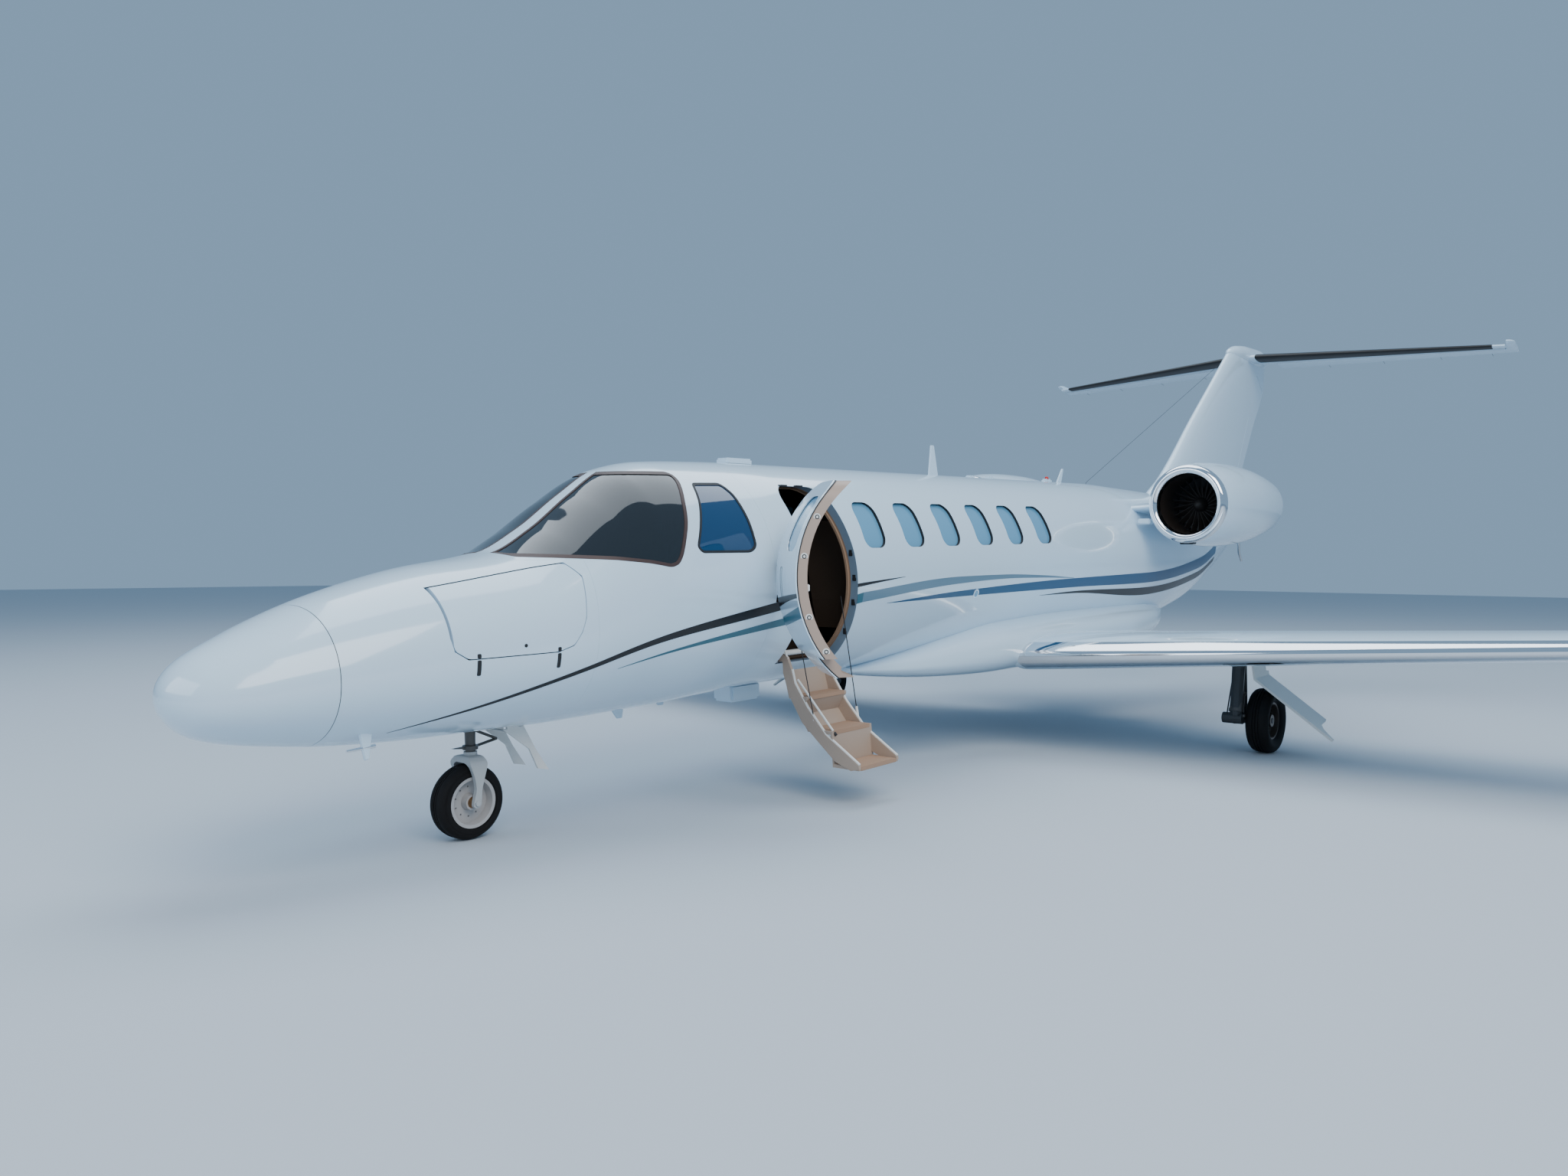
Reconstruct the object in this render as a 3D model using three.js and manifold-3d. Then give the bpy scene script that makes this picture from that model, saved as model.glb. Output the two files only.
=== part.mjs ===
// A light twin-engine business jet standing on its gear, cabin door open and airstair down.
// Millimetres, +X aft, +Y to starboard, +Z up. The airframe is drawn level, with its station (x) counted
// aft from a datum just ahead of the nose. The whole airframe is then tilted a little nose-down onto its
// three wheels.
import * as THREE from "three";
import { mergeVertices } from "three/addons/utils/BufferGeometryUtils.js";
import Module from "manifold-3d";

const wasm = await Module();
wasm.setup();

// Stance: how the level airframe sits on the ground.
const NOSE_DOWN = THREE.MathUtils.degToRad(1.58);
const TILT_STATION = 8000; // the station about which the airframe tilts
const ORIGIN_STATION = 7824.5; // ground distance from the tilt frame's zero to mid length
const FIT = 0.3; // gap between pieces that touch
const RUN = 7; // clearance round pieces that move

// Fuselage sections: lines of the outer skin, smooth between the rows.
const SECTIONS = [
  // station, top, bottom, half width, fullness of the upper half (2 is an ellipse)
  [70, 1191, 1191, 1, 2],
  [100, 1285, 1084, 147, 2],
  [190, 1373, 993, 282, 2],
  [370, 1466, 931, 397, 2],
  [500, 1522, 906, 450, 2.1],
  [900, 1667, 851, 551, 2.12],
  [1400, 1787, 822, 632, 2.2],
  [1900, 1858, 812, 682, 2.4],
  [2200, 2005, 800, 706, 2.4],
  [2500, 2212, 800, 720, 2.28],
  [2800, 2386, 803, 735, 2.13],
  [3100, 2446, 808, 758, 2.05],
  [3500, 2464, 825, 790, 2],
  [4000, 2472, 844, 814, 2],
  [9400, 2472, 844, 814, 2],
  [10200, 2445, 870, 795, 2],
  [11400, 2400, 1010, 680, 2],
  [12500, 2370, 1300, 500, 2],
  [13500, 2360, 1650, 330, 2],
  [14300, 2360, 1960, 200, 2],
  [14850, 2330, 2190, 70, 2],
];
const NOSE_TIP = SECTIONS[0][0];
const WALL = 65; // cabin and cockpit wall, skin to trim
const BULKHEAD = 40; // the cabin's aft wall
const RING_POINTS = 20;
const RADOME_END = 725;
const NOSE_END = 2200;
const COWL_STATION = 1860; // the windshield's base reaches forward over the nose to here
const COWL_HEIGHT = 1815;
const COCKPIT_END = 3640;
const CABIN_END = 8900;
const TAIL_END = 14850;
const TAIL_HOLLOW = 13300; // the tail cone is a shell from its front to here
const FLOOR_TOP = 1030;
const FLOOR_THICK = 50;

// Windows, each an outline of station and height on the fuselage side.
const WINDSHIELD_SIDE = [
  [1905, 1836], [2390, 1806], [2620, 1780], [2770, 1752], [2830, 1770], [2870, 1822], [2970, 2020],
  [3030, 2168], [3105, 2300], [3112, 2345], [3080, 2366], [1905, 2366],
];
const POST_HALF_BASE = 80; // half width of the centre post at the cowl and at the roof
const POST_HALF_TOP = 42;
const COCKPIT_WINDOW = [
  [3188, 2292], [3138, 2168], [2990, 1876], [3024, 1834], [3440, 1830], [3500, 1868], [3502, 2043],
  [3490, 2225], [3445, 2298],
];
const CABIN_WINDOW = { width: 266, low: 1841, high: 2183, corner: 85, first: 4647, pitch: 518.5 };
const PORT_WINDOWS = [0, 1, 2, 3, 4, 5];
const STARBOARD_WINDOWS = [-1, 0, 1, 2, 3, 4, 5];
const WINDOW_SKIN = 30; // thickness of the wall in front of the window panel
const PANE_INSET = 5;
const PANE_THICK = 20;

// Cabin door, hinged ahead of its opening on two arms.
const DOOR = {
  front: 3918, low: 1040, high: 2290, corner: 120,
  hinge: [3726, -751], open: THREE.MathUtils.degToRad(127), armHeights: [1520, 1720],
};
const DOOR_AFT_EDGE = [
  // height, station
  [1040, 4580], [1380, 4544], [1600, 4519], [1830, 4492], [2170, 4440], [2290, 4415],
];
const DOOR_FOOT = { top: 1185, front: 4032, aft: 4400 }; // the door narrows below, clear of the stair's rails

// Airstair, in outboard distance and height.
const STAIR = {
  front: 3985, aft: 4442, rail: 24, hinge: [470, 1100], board: 22,
  treads: [
    // inner edge, nose, height
    [600, 758, 818], [763, 981, 600], [983, 1208, 378],
  ],
};
const STAIR_SIDE = [[450, 1086], [462, 1120], [504, 1118], [585, 1088], [624, 1000], [650, 905], [762, 745],
  [925, 570], [1208, 395], [1212, 368], [1142, 350], [1005, 400], [850, 526], [718, 638], [598, 825],
  [548, 975], [545, 1052], [450, 1052]];
const STAIR_RISERS = [
  [[546, 982], [598, 797], [612, 800], [560, 988]],
  [[744, 800], [758, 800], [698, 690], [777, 590], [763, 585], [683, 690]],
  [[965, 590], [981, 590], [997, 365], [983, 365]],
];

// Wing, one side.
const WING = {
  root: { y: 800, lead: 6700, chord: 2330, z: 868, thick: 0.14 },
  tip: { y: 7980, lead: 7440, chord: 960, z: 1285, thick: 0.115 },
  capY: 8130, edge: 0.07, // leading edge share of the chord
};
const FLAP = { from: 980, to: 5150, chord: 0.27 };
const AILERON = { from: 5200, to: 7640, chord: 0.27 };
const JACK_PAD = { station: 7800, y: 2000, radius: 34, face: 788 }; // the flat foot under each wing

// Tail.
const FIN_ROWS = [
  // height, leading edge, trailing edge, half thickness
  [2280, 11250, 14300, 150],
  [2400, 11420, 14380, 145],
  [2590, 11760, 14510, 138],
  [3400, 12790, 15074, 112],
  [4110, 13709, 15560, 94],
  [4400, 14084, 15590, 86],
];
const RUDDER = { low: [14350, 2700], high: [15130, 4170], lowRadius: 31, highRadius: 51 };
const STAB = {
  root: { y: -3, lead: 14560, chord: 990, z: 4392, thick: 0.11 },
  tip: { y: 3130, lead: 15240, chord: 490, z: 4275, thick: 0.1 },
  capY: 3215,
};
const ELEVATOR = { from: 300, to: 3250, chord: 0.36, horn: 170, droop: THREE.MathUtils.degToRad(12) };

// Engines.
const ENGINE = { y: 1285, z: 2212, inlet: 9360, inletBore: 284, fan: 9790 };
const NACELLE_OUTER = [
  // station behind the inlet, radius
  [95, 398], [300, 425], [700, 438], [1200, 425], [1700, 372], [1990, 325],
];

// Landing gear, with wheel stations measured on the ground.
const WHEEL_SIDES = 20;
const NOSE_GEAR = { station: 1755, radius: 222, half: 73, rim: 146, bead: 0.92, strut: 32, legTop: 1020 };
const MAIN_GEAR = { station: 8215, y: 2465, radius: 280, half: 97, rim: 160, bead: 0.62 };

// Shape helpers: every shape is made as a three.js geometry and joined or cut as a solid.
function toSolid(geometry) {
  const plain = geometry.clone();
  plain.deleteAttribute("normal");
  plain.deleteAttribute("uv");
  const merged = mergeVertices(plain, 1e-3);
  const index = merged.index ? merged.index.array : [...Array(merged.attributes.position.count).keys()];
  return new wasm.Manifold(new wasm.Mesh({
    numProp: 3,
    vertProperties: new Float32Array(merged.attributes.position.array),
    triVerts: new Uint32Array(index),
  }));
}

function toGeometry(solid) {
  const mesh = solid.getMesh();
  const points = new Float32Array(mesh.numVert * 3);
  for (let i = 0; i < mesh.numVert; i++) {
    for (let k = 0; k < 3; k++) points[i * 3 + k] = mesh.vertProperties[i * mesh.numProp + k];
  }
  const geometry = new THREE.BufferGeometry();
  geometry.setAttribute("position", new THREE.BufferAttribute(points, 3));
  geometry.setIndex(new THREE.BufferAttribute(mesh.triVerts, 1));
  geometry.computeVertexNormals();
  return geometry;
}

function join(...solids) {
  return solids.reduce((whole, next) => whole.add(next));
}

function cut(solid, ...tools) {
  return tools.reduce((rest, tool) => rest.subtract(tool), solid);
}

// A closed skin through rings of equal count, with a fan over each end.
function loft(rings) {
  const count = rings[0].length;
  const points = rings.flat();
  const faces = [];
  for (let r = 0; r + 1 < rings.length; r++) {
    for (let i = 0; i < count; i++) {
      const j = (i + 1) % count;
      const [a, b, c, d] = [r * count + i, r * count + j, (r + 1) * count + j, (r + 1) * count + i];
      const starboard = i < count / 4 || i >= (3 * count) / 4; // diagonals mirror across the centre plane
      faces.push(...(starboard ? [a, b, c, a, c, d] : [a, b, d, b, c, d]));
    }
  }
  for (const [start, flip] of [[0, false], [(rings.length - 1) * count, true]]) {
    const centre = new THREE.Vector3();
    for (let i = 0; i < count; i++) centre.add(points[start + i]);
    points.push(centre.divideScalar(count));
    for (let i = 0; i < count; i++) {
      const [a, b] = [start + i, start + ((i + 1) % count)];
      faces.push(points.length - 1, ...(flip ? [a, b] : [b, a]));
    }
  }
  const geometry = new THREE.BufferGeometry().setFromPoints(points);
  geometry.setIndex(faces);
  const solid = toSolid(geometry);
  if (solid.volume() > 0) return solid;
  for (let i = 0; i < faces.length; i += 3) [faces[i + 1], faces[i + 2]] = [faces[i + 2], faces[i + 1]];
  geometry.setIndex(faces);
  return toSolid(geometry);
}

function block(x0, x1, y0, y1, z0, z1) {
  const box = new THREE.BoxGeometry(x1 - x0, y1 - y0, z1 - z0);
  return toSolid(box.translate((x0 + x1) / 2, (y0 + y1) / 2, (z0 + z1) / 2));
}

function shapeOf(outline) {
  return new THREE.Shape(outline.map(([a, b]) => new THREE.Vector2(a, b)));
}

// An outline of station and height, carried across from y0 to y1.
function sideways(outline, y0, y1) {
  const body = new THREE.ExtrudeGeometry(shapeOf(outline), { depth: y1 - y0, bevelEnabled: false });
  return toSolid(body.rotateX(Math.PI / 2).translate(0, y1, 0));
}

// An outline of station and side distance, carried up from z0 to z1.
function upright(outline, z0, z1) {
  const body = new THREE.ExtrudeGeometry(shapeOf(outline), { depth: z1 - z0, bevelEnabled: false });
  return toSolid(body.translate(0, 0, z0));
}

// An outline of side distance and height, carried aft from x0 to x1.
function lengthways(outline, x0, x1) {
  const body = new THREE.ExtrudeGeometry(shapeOf(outline), { depth: x1 - x0, bevelEnabled: false });
  const turn = new THREE.Matrix4().makeBasis(
    new THREE.Vector3(0, 1, 0), new THREE.Vector3(0, 0, 1), new THREE.Vector3(1, 0, 0));
  return toSolid(body.applyMatrix4(turn).translate(x0, 0, 0));
}

// A round bar between two points, tapering from one radius to the other.
function bar(from, to, r0, r1 = r0, sides = 12) {
  const [a, b] = [new THREE.Vector3(...from), new THREE.Vector3(...to)];
  const body = new THREE.CylinderGeometry(r1, r0, a.distanceTo(b), sides);
  const turn = new THREE.Quaternion().setFromUnitVectors(
    new THREE.Vector3(0, 1, 0), b.clone().sub(a).normalize());
  body.applyQuaternion(turn);
  body.translate(...a.add(b).multiplyScalar(0.5).toArray());
  return toSolid(body);
}

// A profile of radius and height turned about +Z. It starts and ends on the axis, or closes on itself.
function turned(profile, sides = 24) {
  const body = new THREE.LatheGeometry(profile.map(([r, h]) => new THREE.Vector2(r, h)), sides);
  const solid = toSolid(body.rotateX(Math.PI / 2));
  return solid.volume() > 0 ? solid : toSolid(flipped(body));
}

function flipped(geometry) {
  const index = geometry.index.array;
  for (let i = 0; i < index.length; i += 3) [index[i + 1], index[i + 2]] = [index[i + 2], index[i + 1]];
  return geometry;
}

function place(solid, move, turn = [0, 0, 0]) {
  const geometry = toGeometry(solid);
  geometry.applyMatrix4(new THREE.Matrix4().compose(
    new THREE.Vector3(...move), new THREE.Quaternion().setFromEuler(new THREE.Euler(...turn)),
    new THREE.Vector3(1, 1, 1)));
  return toSolid(geometry);
}

// An outline moved in by a gap on every edge.
function inward(outline, gap) {
  const n = outline.length;
  const area = outline.reduce((sum, [x, y], i) => {
    const [u, v] = outline[(i + 1) % n];
    return sum + x * v - u * y;
  }, 0);
  const side = Math.sign(area) * gap;
  const edges = outline.map(([x, y], i) => {
    const [u, v] = outline[(i + 1) % n];
    const long = Math.hypot(u - x, v - y);
    const [dx, dy] = [(u - x) / long, (v - y) / long];
    return { x: x - dy * side, y: y + dx * side, dx, dy };
  });
  return edges.map((after, i) => {
    const before = edges[(i + n - 1) % n];
    const cross = before.dx * after.dy - before.dy * after.dx;
    const t = ((after.x - before.x) * after.dy - (after.y - before.y) * after.dx) / cross;
    return [before.x + before.dx * t, before.y + before.dy * t];
  });
}

function roundedBox(x0, x1, z0, z1, radius, steps = 3) {
  const corners = [[x1 - radius, z1 - radius, 0], [x0 + radius, z1 - radius, 90],
    [x0 + radius, z0 + radius, 180], [x1 - radius, z0 + radius, 270]];
  return corners.flatMap(([x, z, start]) => [...Array(steps + 1).keys()].map((i) => {
    const angle = THREE.MathUtils.degToRad(start + (90 * i) / steps);
    return [x + radius * Math.cos(angle), z + radius * Math.sin(angle)];
  }));
}

// Smooth, never overshooting values between rows: a monotone cubic in the root of the distance aft.
function between(rows, column, station) {
  const u = rows.map((row) => Math.sqrt(row[0] - NOSE_TIP));
  const v = rows.map((row) => row[column]);
  const last = rows.length - 2;
  const slope = (i) => (v[i + 1] - v[i]) / (u[i + 1] - u[i]);
  const tangent = (i) => {
    if (i === 0) return slope(0);
    if (i > last) return slope(last);
    const [a, b] = [slope(i - 1), slope(i)];
    return a * b <= 0 ? 0 : (2 * a * b) / (a + b);
  };
  const at = Math.sqrt(Math.min(Math.max(station, NOSE_TIP), rows[last + 1][0]) - NOSE_TIP);
  const i = Math.max(0, at < u[last + 1] ? u.findIndex((x) => x > at) - 1 : last);
  const h = u[i + 1] - u[i];
  const t = (at - u[i]) / h;
  return v[i] * (1 + 2 * t) * (1 - t) ** 2 + tangent(i) * h * t * (1 - t) ** 2
    + v[i + 1] * t * t * (3 - 2 * t) + tangent(i + 1) * h * t * t * (t - 1);
}

function skinRing(station, inset) {
  const [top, bottom, half, full] = [1, 2, 3, 4].map((column) => between(SECTIONS, column, station));
  const middle = (top + bottom) / 2;
  const [width, rise] = [half - inset, (top - bottom) / 2 - inset];
  return [...Array(RING_POINTS).keys()].map((i) => {
    const angle = (2 * Math.PI * i) / RING_POINTS;
    const [c, s] = [Math.cos(angle), Math.sin(angle)];
    const power = s > 0 ? 2 / full : 1;
    return new THREE.Vector3(station, width * Math.sign(c) * Math.abs(c) ** power,
      middle + rise * Math.sign(s) * Math.abs(s) ** power);
  });
}

// The fuselage skin's volume from one station to another, pulled in by an inset. Every piece is taken from
// the same whole skin, so that neighbours meet on the same facets.
const wholeHulls = new Map();
function hull(from, to, inset = 0) {
  if (!wholeHulls.has(inset)) {
    const rows = SECTIONS.filter(([station, top, bottom, half]) => station > NOSE_TIP
      && Math.min(half, (top - bottom) / 2) > inset + 4);
    const stations = [...(inset > 0 ? [] : [NOSE_TIP + 3]), ...rows.map((row) => row[0])];
    wholeHulls.set(inset, loft(stations.map((station) => skinRing(station, inset))));
  }
  return wholeHulls.get(inset).intersect(block(from, to, -1200, 1200, 0, 3000));
}

// Distance out to the skin's facets at a station and height.
function skinSide(station, height, inset = 0) {
  const next = SECTIONS.findIndex((row) => row[0] > station);
  const [s0, s1] = [SECTIONS[next - 1][0], SECTIONS[next][0]];
  const [near, far] = [s0, s1].map((s) => skinRing(s, inset));
  const ring = near.map((point, i) => point.clone().lerp(far[i], (station - s0) / (s1 - s0)));
  const i = ring.findIndex((point, k) => {
    const after = ring[(k + 1) % RING_POINTS];
    return point.y + after.y > 0 && (point.z - height) * (after.z - height) <= 0;
  });
  const [a, b] = [ring[i], ring[(i + 1) % RING_POINTS]];
  return a.y + ((b.y - a.y) * (height - a.z)) / (b.z - a.z);
}

// A symmetric wing section: points round the outline at one span position.
const SECTION_STEPS = [1, 0.7, 0.34, 0.1, 0.012];
function foil(lead, chord, thick, at) {
  const half = (x) => 5 * thick * chord
    * (0.2969 * Math.sqrt(x) - 0.126 * x - 0.3516 * x ** 2 + 0.2843 * x ** 3 - 0.1036 * x ** 4) + 1.5;
  const upper = SECTION_STEPS.map((x) => at(lead + x * chord, half(x)));
  const lower = SECTION_STEPS.map((x) => at(lead + x * chord, -half(x)));
  return [...upper, at(lead, 0), ...lower.reverse()];
}

// A flying surface on the starboard side, from root to tip, with a small rounded cap.
function panel({ root, tip, capY }) {
  const rows = [root, tip].map(({ y, lead, chord, z, thick }) =>
    foil(lead, chord, thick, (x, h) => new THREE.Vector3(x, y, z + h)));
  const grow = (capY - tip.y) / (tip.y - root.y);
  const cap = foil(tip.lead + 0.14 * tip.chord, tip.chord * 0.8, tip.thick * 0.35, (x, h) =>
    new THREE.Vector3(x, capY, tip.z + (tip.z - root.z) * grow + h));
  return loft([...rows, cap]);
}

function along({ root, tip }, y) {
  const t = (y - root.y) / (tip.y - root.y);
  const mix = (key) => root[key] + (tip[key] - root[key]) * t;
  return { lead: mix("lead"), chord: mix("chord"), z: mix("z"), thick: mix("thick") };
}

// Split a surface at a hinge line into the fixed part and the moving part, whose nose is round. Lugs on
// the fixed part reach into slots in the moving one.
const HINGE_SHARES = [0.2, 0.8]; // where the lugs are, as shares of the hinge's length
// The hinge runs from a to b, up is the surface's normal, and horn is a balance ahead of the hinge's end.
function splitAtHinge(surface, a, b, radiusA, radiusB, up, horn = 0) {
  const [from, to] = [new THREE.Vector3(...a), new THREE.Vector3(...b)];
  const line = to.clone().sub(from);
  const length = line.length();
  const span = line.clone().normalize();
  const aft = new THREE.Vector3().crossVectors(span, up).normalize();
  if (aft.x < 0) aft.negate();
  const lift = new THREE.Vector3().crossVectors(aft, span);
  const frame = new THREE.Matrix4().makeBasis(aft, span, lift).setPosition(from);
  const region = (y0, y1, r0, r1) => {
    const back = new THREE.BoxGeometry(2500, y1 - y0, 900).translate(1250 - (r0 - radiusA), (y0 + y1) / 2, 0);
    const nose = new THREE.CylinderGeometry(r1, r0, y1 - y0, 12).translate(0, (y0 + y1) / 2, 0);
    return join(...[back, nose].map((g) => toSolid(g.applyMatrix4(frame))));
  };
  const ahead = (y0, y1) => toSolid(new THREE.BoxGeometry(1200, y1 - y0, 900)
    .translate(-600, (y0 + y1) / 2, 0).applyMatrix4(frame));
  let hole = region(0, length, radiusA * 1.07 + RUN, radiusB * 1.07 + RUN);
  let tool = region(RUN, length - RUN, radiusA, radiusB);
  const deep = Math.max(radiusA, radiusB) + RUN + 25;
  const atHinges = (long, wide, tall) => HINGE_SHARES.map((share) => {
    const box = new THREE.BoxGeometry(deep + long, wide, tall);
    return toSolid(box.translate(long - (deep + long) / 2, share * length, 0).applyMatrix4(frame));
  });
  const lugs = atHinges(7, 12, 14);
  const slots = atHinges(14, 13.2, 400);
  if (horn) {
    const end = length + 500;
    hole = join(hole, ahead(length - horn, end));
    tool = join(tool, ahead(length - horn + RUN, end), region(length - horn, end, radiusB, radiusB));
  }
  return { fixed: join(surface.subtract(hole), ...lugs), moving: cut(surface.intersect(tool), ...slots) };
}

// Hinge points of a control on a panel, between two span positions.
function hingeOn(shape, from, to, share) {
  return [from, to].map((y) => {
    const { lead, chord, z, thick } = along(shape, y);
    const x = 1 - share;
    const half = 5 * thick * chord
      * (0.2969 * Math.sqrt(x) - 0.126 * x - 0.3516 * x ** 2 + 0.2843 * x ** 3 - 0.1036 * x ** 4);
    return { point: [lead + chord * x, y, z], radius: half };
  });
}

// The scene graph: one mesh for each piece, in the colours of its finish.
const FINISH = {
  // colour, roughness, metalness
  paint: [0xe9edf0, 0.25, 0],
  polished: [0xd5d8dc, 0.08, 1],
  steel: [0x9aa0a6, 0.35, 0.9],
  greyPaint: [0xb9bcbc, 0.45, 0.1],
  darkGear: [0x3d4043, 0.5, 0.5],
  glass: [0x2b4a63, 0.05, 0],
  shade: [0x8fb4cf, 0.2, 0],
  rubber: [0x141414, 0.8, 0],
  tan: [0xcbb394, 0.6, 0],
  leather: [0xb79f80, 0.55, 0],
  dark: [0x25282b, 0.7, 0],
  carpet: [0x8d7f6b, 0.95, 0],
  fan: [0x4a4d51, 0.35, 0.9],
};
const materials = Object.fromEntries(Object.entries(FINISH).map(([name, [color, roughness, metalness]]) =>
  [name, new THREE.MeshStandardMaterial({ color, roughness, metalness })]));

const jet = new THREE.Group();
const airframe = new THREE.Group();
airframe.rotation.y = -NOSE_DOWN;
airframe.position.set(TILT_STATION - ORIGIN_STATION, 0, 0);
jet.add(airframe);
const level = new THREE.Group(); // holds the pieces in station coordinates
level.position.x = -TILT_STATION;
airframe.add(level);
const port = new THREE.Group(); // mirrored, so that both sides come from one shape
port.scale.y = -1;
level.add(port);

function add(name, solid, finish, parent = level) {
  const mesh = new THREE.Mesh(toGeometry(solid), materials[finish]);
  mesh.name = name;
  parent.add(mesh);
  return mesh;
}

function addPair(name, solid, finish) {
  add(name + "_right", solid, finish);
  add(name + "_left", solid, finish, port);
}

// Height on the level airframe at which a wheel of this radius rests on the ground.
function wheelHeight(station, radius) {
  return (radius - (station - TILT_STATION) * Math.sin(NOSE_DOWN)) / Math.cos(NOSE_DOWN);
}

// Doors and windows in the fuselage.
function cornerRound(z) {
  const over = Math.max(0, z - (DOOR.high - DOOR.corner));
  return DOOR.corner - Math.sqrt(Math.max(0, DOOR.corner ** 2 - over ** 2));
}

function doorAft(z) {
  const at = Math.min(Math.max(z, DOOR.low), DOOR.high);
  const i = Math.max(1, DOOR_AFT_EDGE.findIndex(([height]) => height >= at));
  const [[z0, x0], [z1, x1]] = [DOOR_AFT_EDGE[i - 1], DOOR_AFT_EDGE[i]];
  return x0 + ((x1 - x0) * (at - z0)) / (z1 - z0) - cornerRound(z);
}

function doorFront(z) {
  return DOOR.front + cornerRound(z);
}

const DOOR_LEVELS = [0, 0.272, 0.448, 0.632, 0.904, 0.94, 0.975, 1];
function doorHeight(share) {
  return DOOR.low + (DOOR.high - DOOR.low) * share;
}

function doorOutline() {
  const levels = DOOR_LEVELS.map(doorHeight);
  const front = levels.filter((z) => z === DOOR.low || z > DOOR.high - DOOR.corner - 1);
  return [...levels.map((z) => [doorAft(z), z]), ...front.reverse().map((z) => [doorFront(z), z])];
}

// What the door may fill as it swings: inside the reach of the opening's outer aft edge, round the hinge.
function doorSwing() {
  const [hx, hy] = DOOR.hinge;
  const reach = (z) => Math.hypot(doorAft(z) - hx, -skinSide(4400, z) - hy) - RUN;
  const levels = [DOOR.low - 20, ...DOOR_LEVELS.map(doorHeight), DOOR.high + 20];
  const profile = [[0, levels[0]], ...levels.map((z) => [reach(z), z]), [0, levels.at(-1)]];
  const nearHinge = DOOR.front - hx + 15;
  return place(cut(turned(profile, 64), bar([0, 0, 0], [0, 0, 3000], nearHinge, nearHinge, 16)), [hx, hy, 0]);
}

function cabinWindow(number, grow = 0) {
  const { width, low, high, corner, first, pitch } = CABIN_WINDOW;
  const front = first + number * pitch;
  return roundedBox(front - grow, front + width + grow, low - grow, high + grow, corner + grow);
}

function windshieldTool(gap) {
  const side = sideways(gap ? inward(WINDSHIELD_SIDE, gap) : WINDSHIELD_SIDE, POST_HALF_TOP + gap, 900);
  const post = upright([[1700, 0], [3300, 0], [3300, POST_HALF_TOP + gap], [2760, POST_HALF_TOP + gap],
    [1700, POST_HALF_BASE + gap]], 1700, 2500);
  return side.subtract(post);
}

// A curved sheet between two insets of the fuselage skin.
function sheet(from, to, outer, inner) {
  return cut(hull(from, to, outer), hull(from - 30, to + 30, inner));
}

function pane(tool, from, to) {
  return sheet(from, to, PANE_INSET, PANE_INSET + PANE_THICK).intersect(tool);
}

function mirrorY(solid) {
  const geometry = toGeometry(solid).scale(1, -1, 1);
  return toSolid(flipped(geometry));
}

// Fuselage: radome, nose with its baggage bay, cockpit, cabin and tail cone.
const BAY = { front: 1235, aft: 2160, floor: 1215, roof: 1690, middle: 40 };
const BAY_DOOR = [[1285, 1420], [1300, 1350], [1376, 1300], [1925, 1300], [2030, 1330], [2085, 1400],
  [2118, 1480], [2150, 1720], [2092, 1800], [1276, 1684], [1284, 1600]];
const BAY_DOOR_FRONT = 1304; // the door's own front edge, back from the frame so that it clears as it rises
const BAY_KNUCKLES = [1330, 2010]; // stations of the baggage door's two hinge knuckles
const KNUCKLE = { length: 60, radius: 9 };
const NOSE_WELL = { front: 1610, aft: 2150, half: 130, roof: 1090 };

function topEdgePoint(station) {
  const [[x1, z1], [x0, z0]] = [BAY_DOOR.at(-3), BAY_DOOR.at(-2)];
  const z = z0 + ((z1 - z0) * (station - x0)) / (x1 - x0);
  return [station, skinSide(station, z) + 3, z];
}

// The two knuckles on the baggage door's top edge, both on one straight line.
function bayKnuckles(radius, extra = 0) {
  const { length } = KNUCKLE;
  const [a, b] = [BAY_KNUCKLES[0], BAY_KNUCKLES[1] + length]
    .map((station) => new THREE.Vector3(...topEdgePoint(station)));
  const line = b.clone().sub(a).normalize();
  const point = (start, distance) => start.clone().addScaledVector(line, distance).toArray();
  return [a, b.clone().addScaledVector(line, -length)].map((start) =>
    bar(point(start, -extra), point(start, length + extra), radius, radius, 10));
}

function noseSection() {
  const cowl = block(COWL_STATION, NOSE_END + 100, -900, 900, COWL_HEIGHT, 2500);
  const bay = hull(BAY.front, BAY.aft, 45)
    .intersect(block(BAY.front, BAY.aft, BAY.middle, 900, BAY.floor, BAY.roof));
  const well = block(NOSE_WELL.front, NOSE_WELL.aft, -NOSE_WELL.half, NOSE_WELL.half, 700, NOSE_WELL.roof);
  const door = join(sideways(BAY_DOOR, 240, 800), ...bayKnuckles(KNUCKLE.radius + 0.6, 0.6));
  return cut(hull(RADOME_END + FIT, NOSE_END - FIT), cowl, bay, mirrorY(bay), well, door, mirrorY(door));
}

function baggageDoor() {
  const panelPiece = sheet(BAY_DOOR_FRONT, 2190, 0, 40).intersect(sideways(inward(BAY_DOOR, 7), 244, 800));
  return join(panelPiece, ...bayKnuckles(KNUCKLE.radius));
}

function cockpitShell() {
  const cowlUnder = block(1000, NOSE_END + FIT, -900, 900, 0, COWL_HEIGHT + FIT);
  const inner = hull(NOSE_END + 40, COCKPIT_END + 40, WALL);
  const side = sideways(COCKPIT_WINDOW, 200, 900);
  const glass = windshieldTool(0);
  const shell = cut(hull(COWL_STATION + FIT, COCKPIT_END - FIT), cowlUnder, inner);
  return cut(shell, glass, mirrorY(glass), side, mirrorY(side));
}

function windowBand(numbers, from, to, outer, inner) {
  const { width, first, pitch } = CABIN_WINDOW;
  const front = first + numbers[0] * pitch - 60;
  const aft = first + numbers.at(-1) * pitch + width + 60;
  return sheet(front, aft, outer, inner).intersect(block(front, aft, 200, 900, from, to));
}

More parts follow.
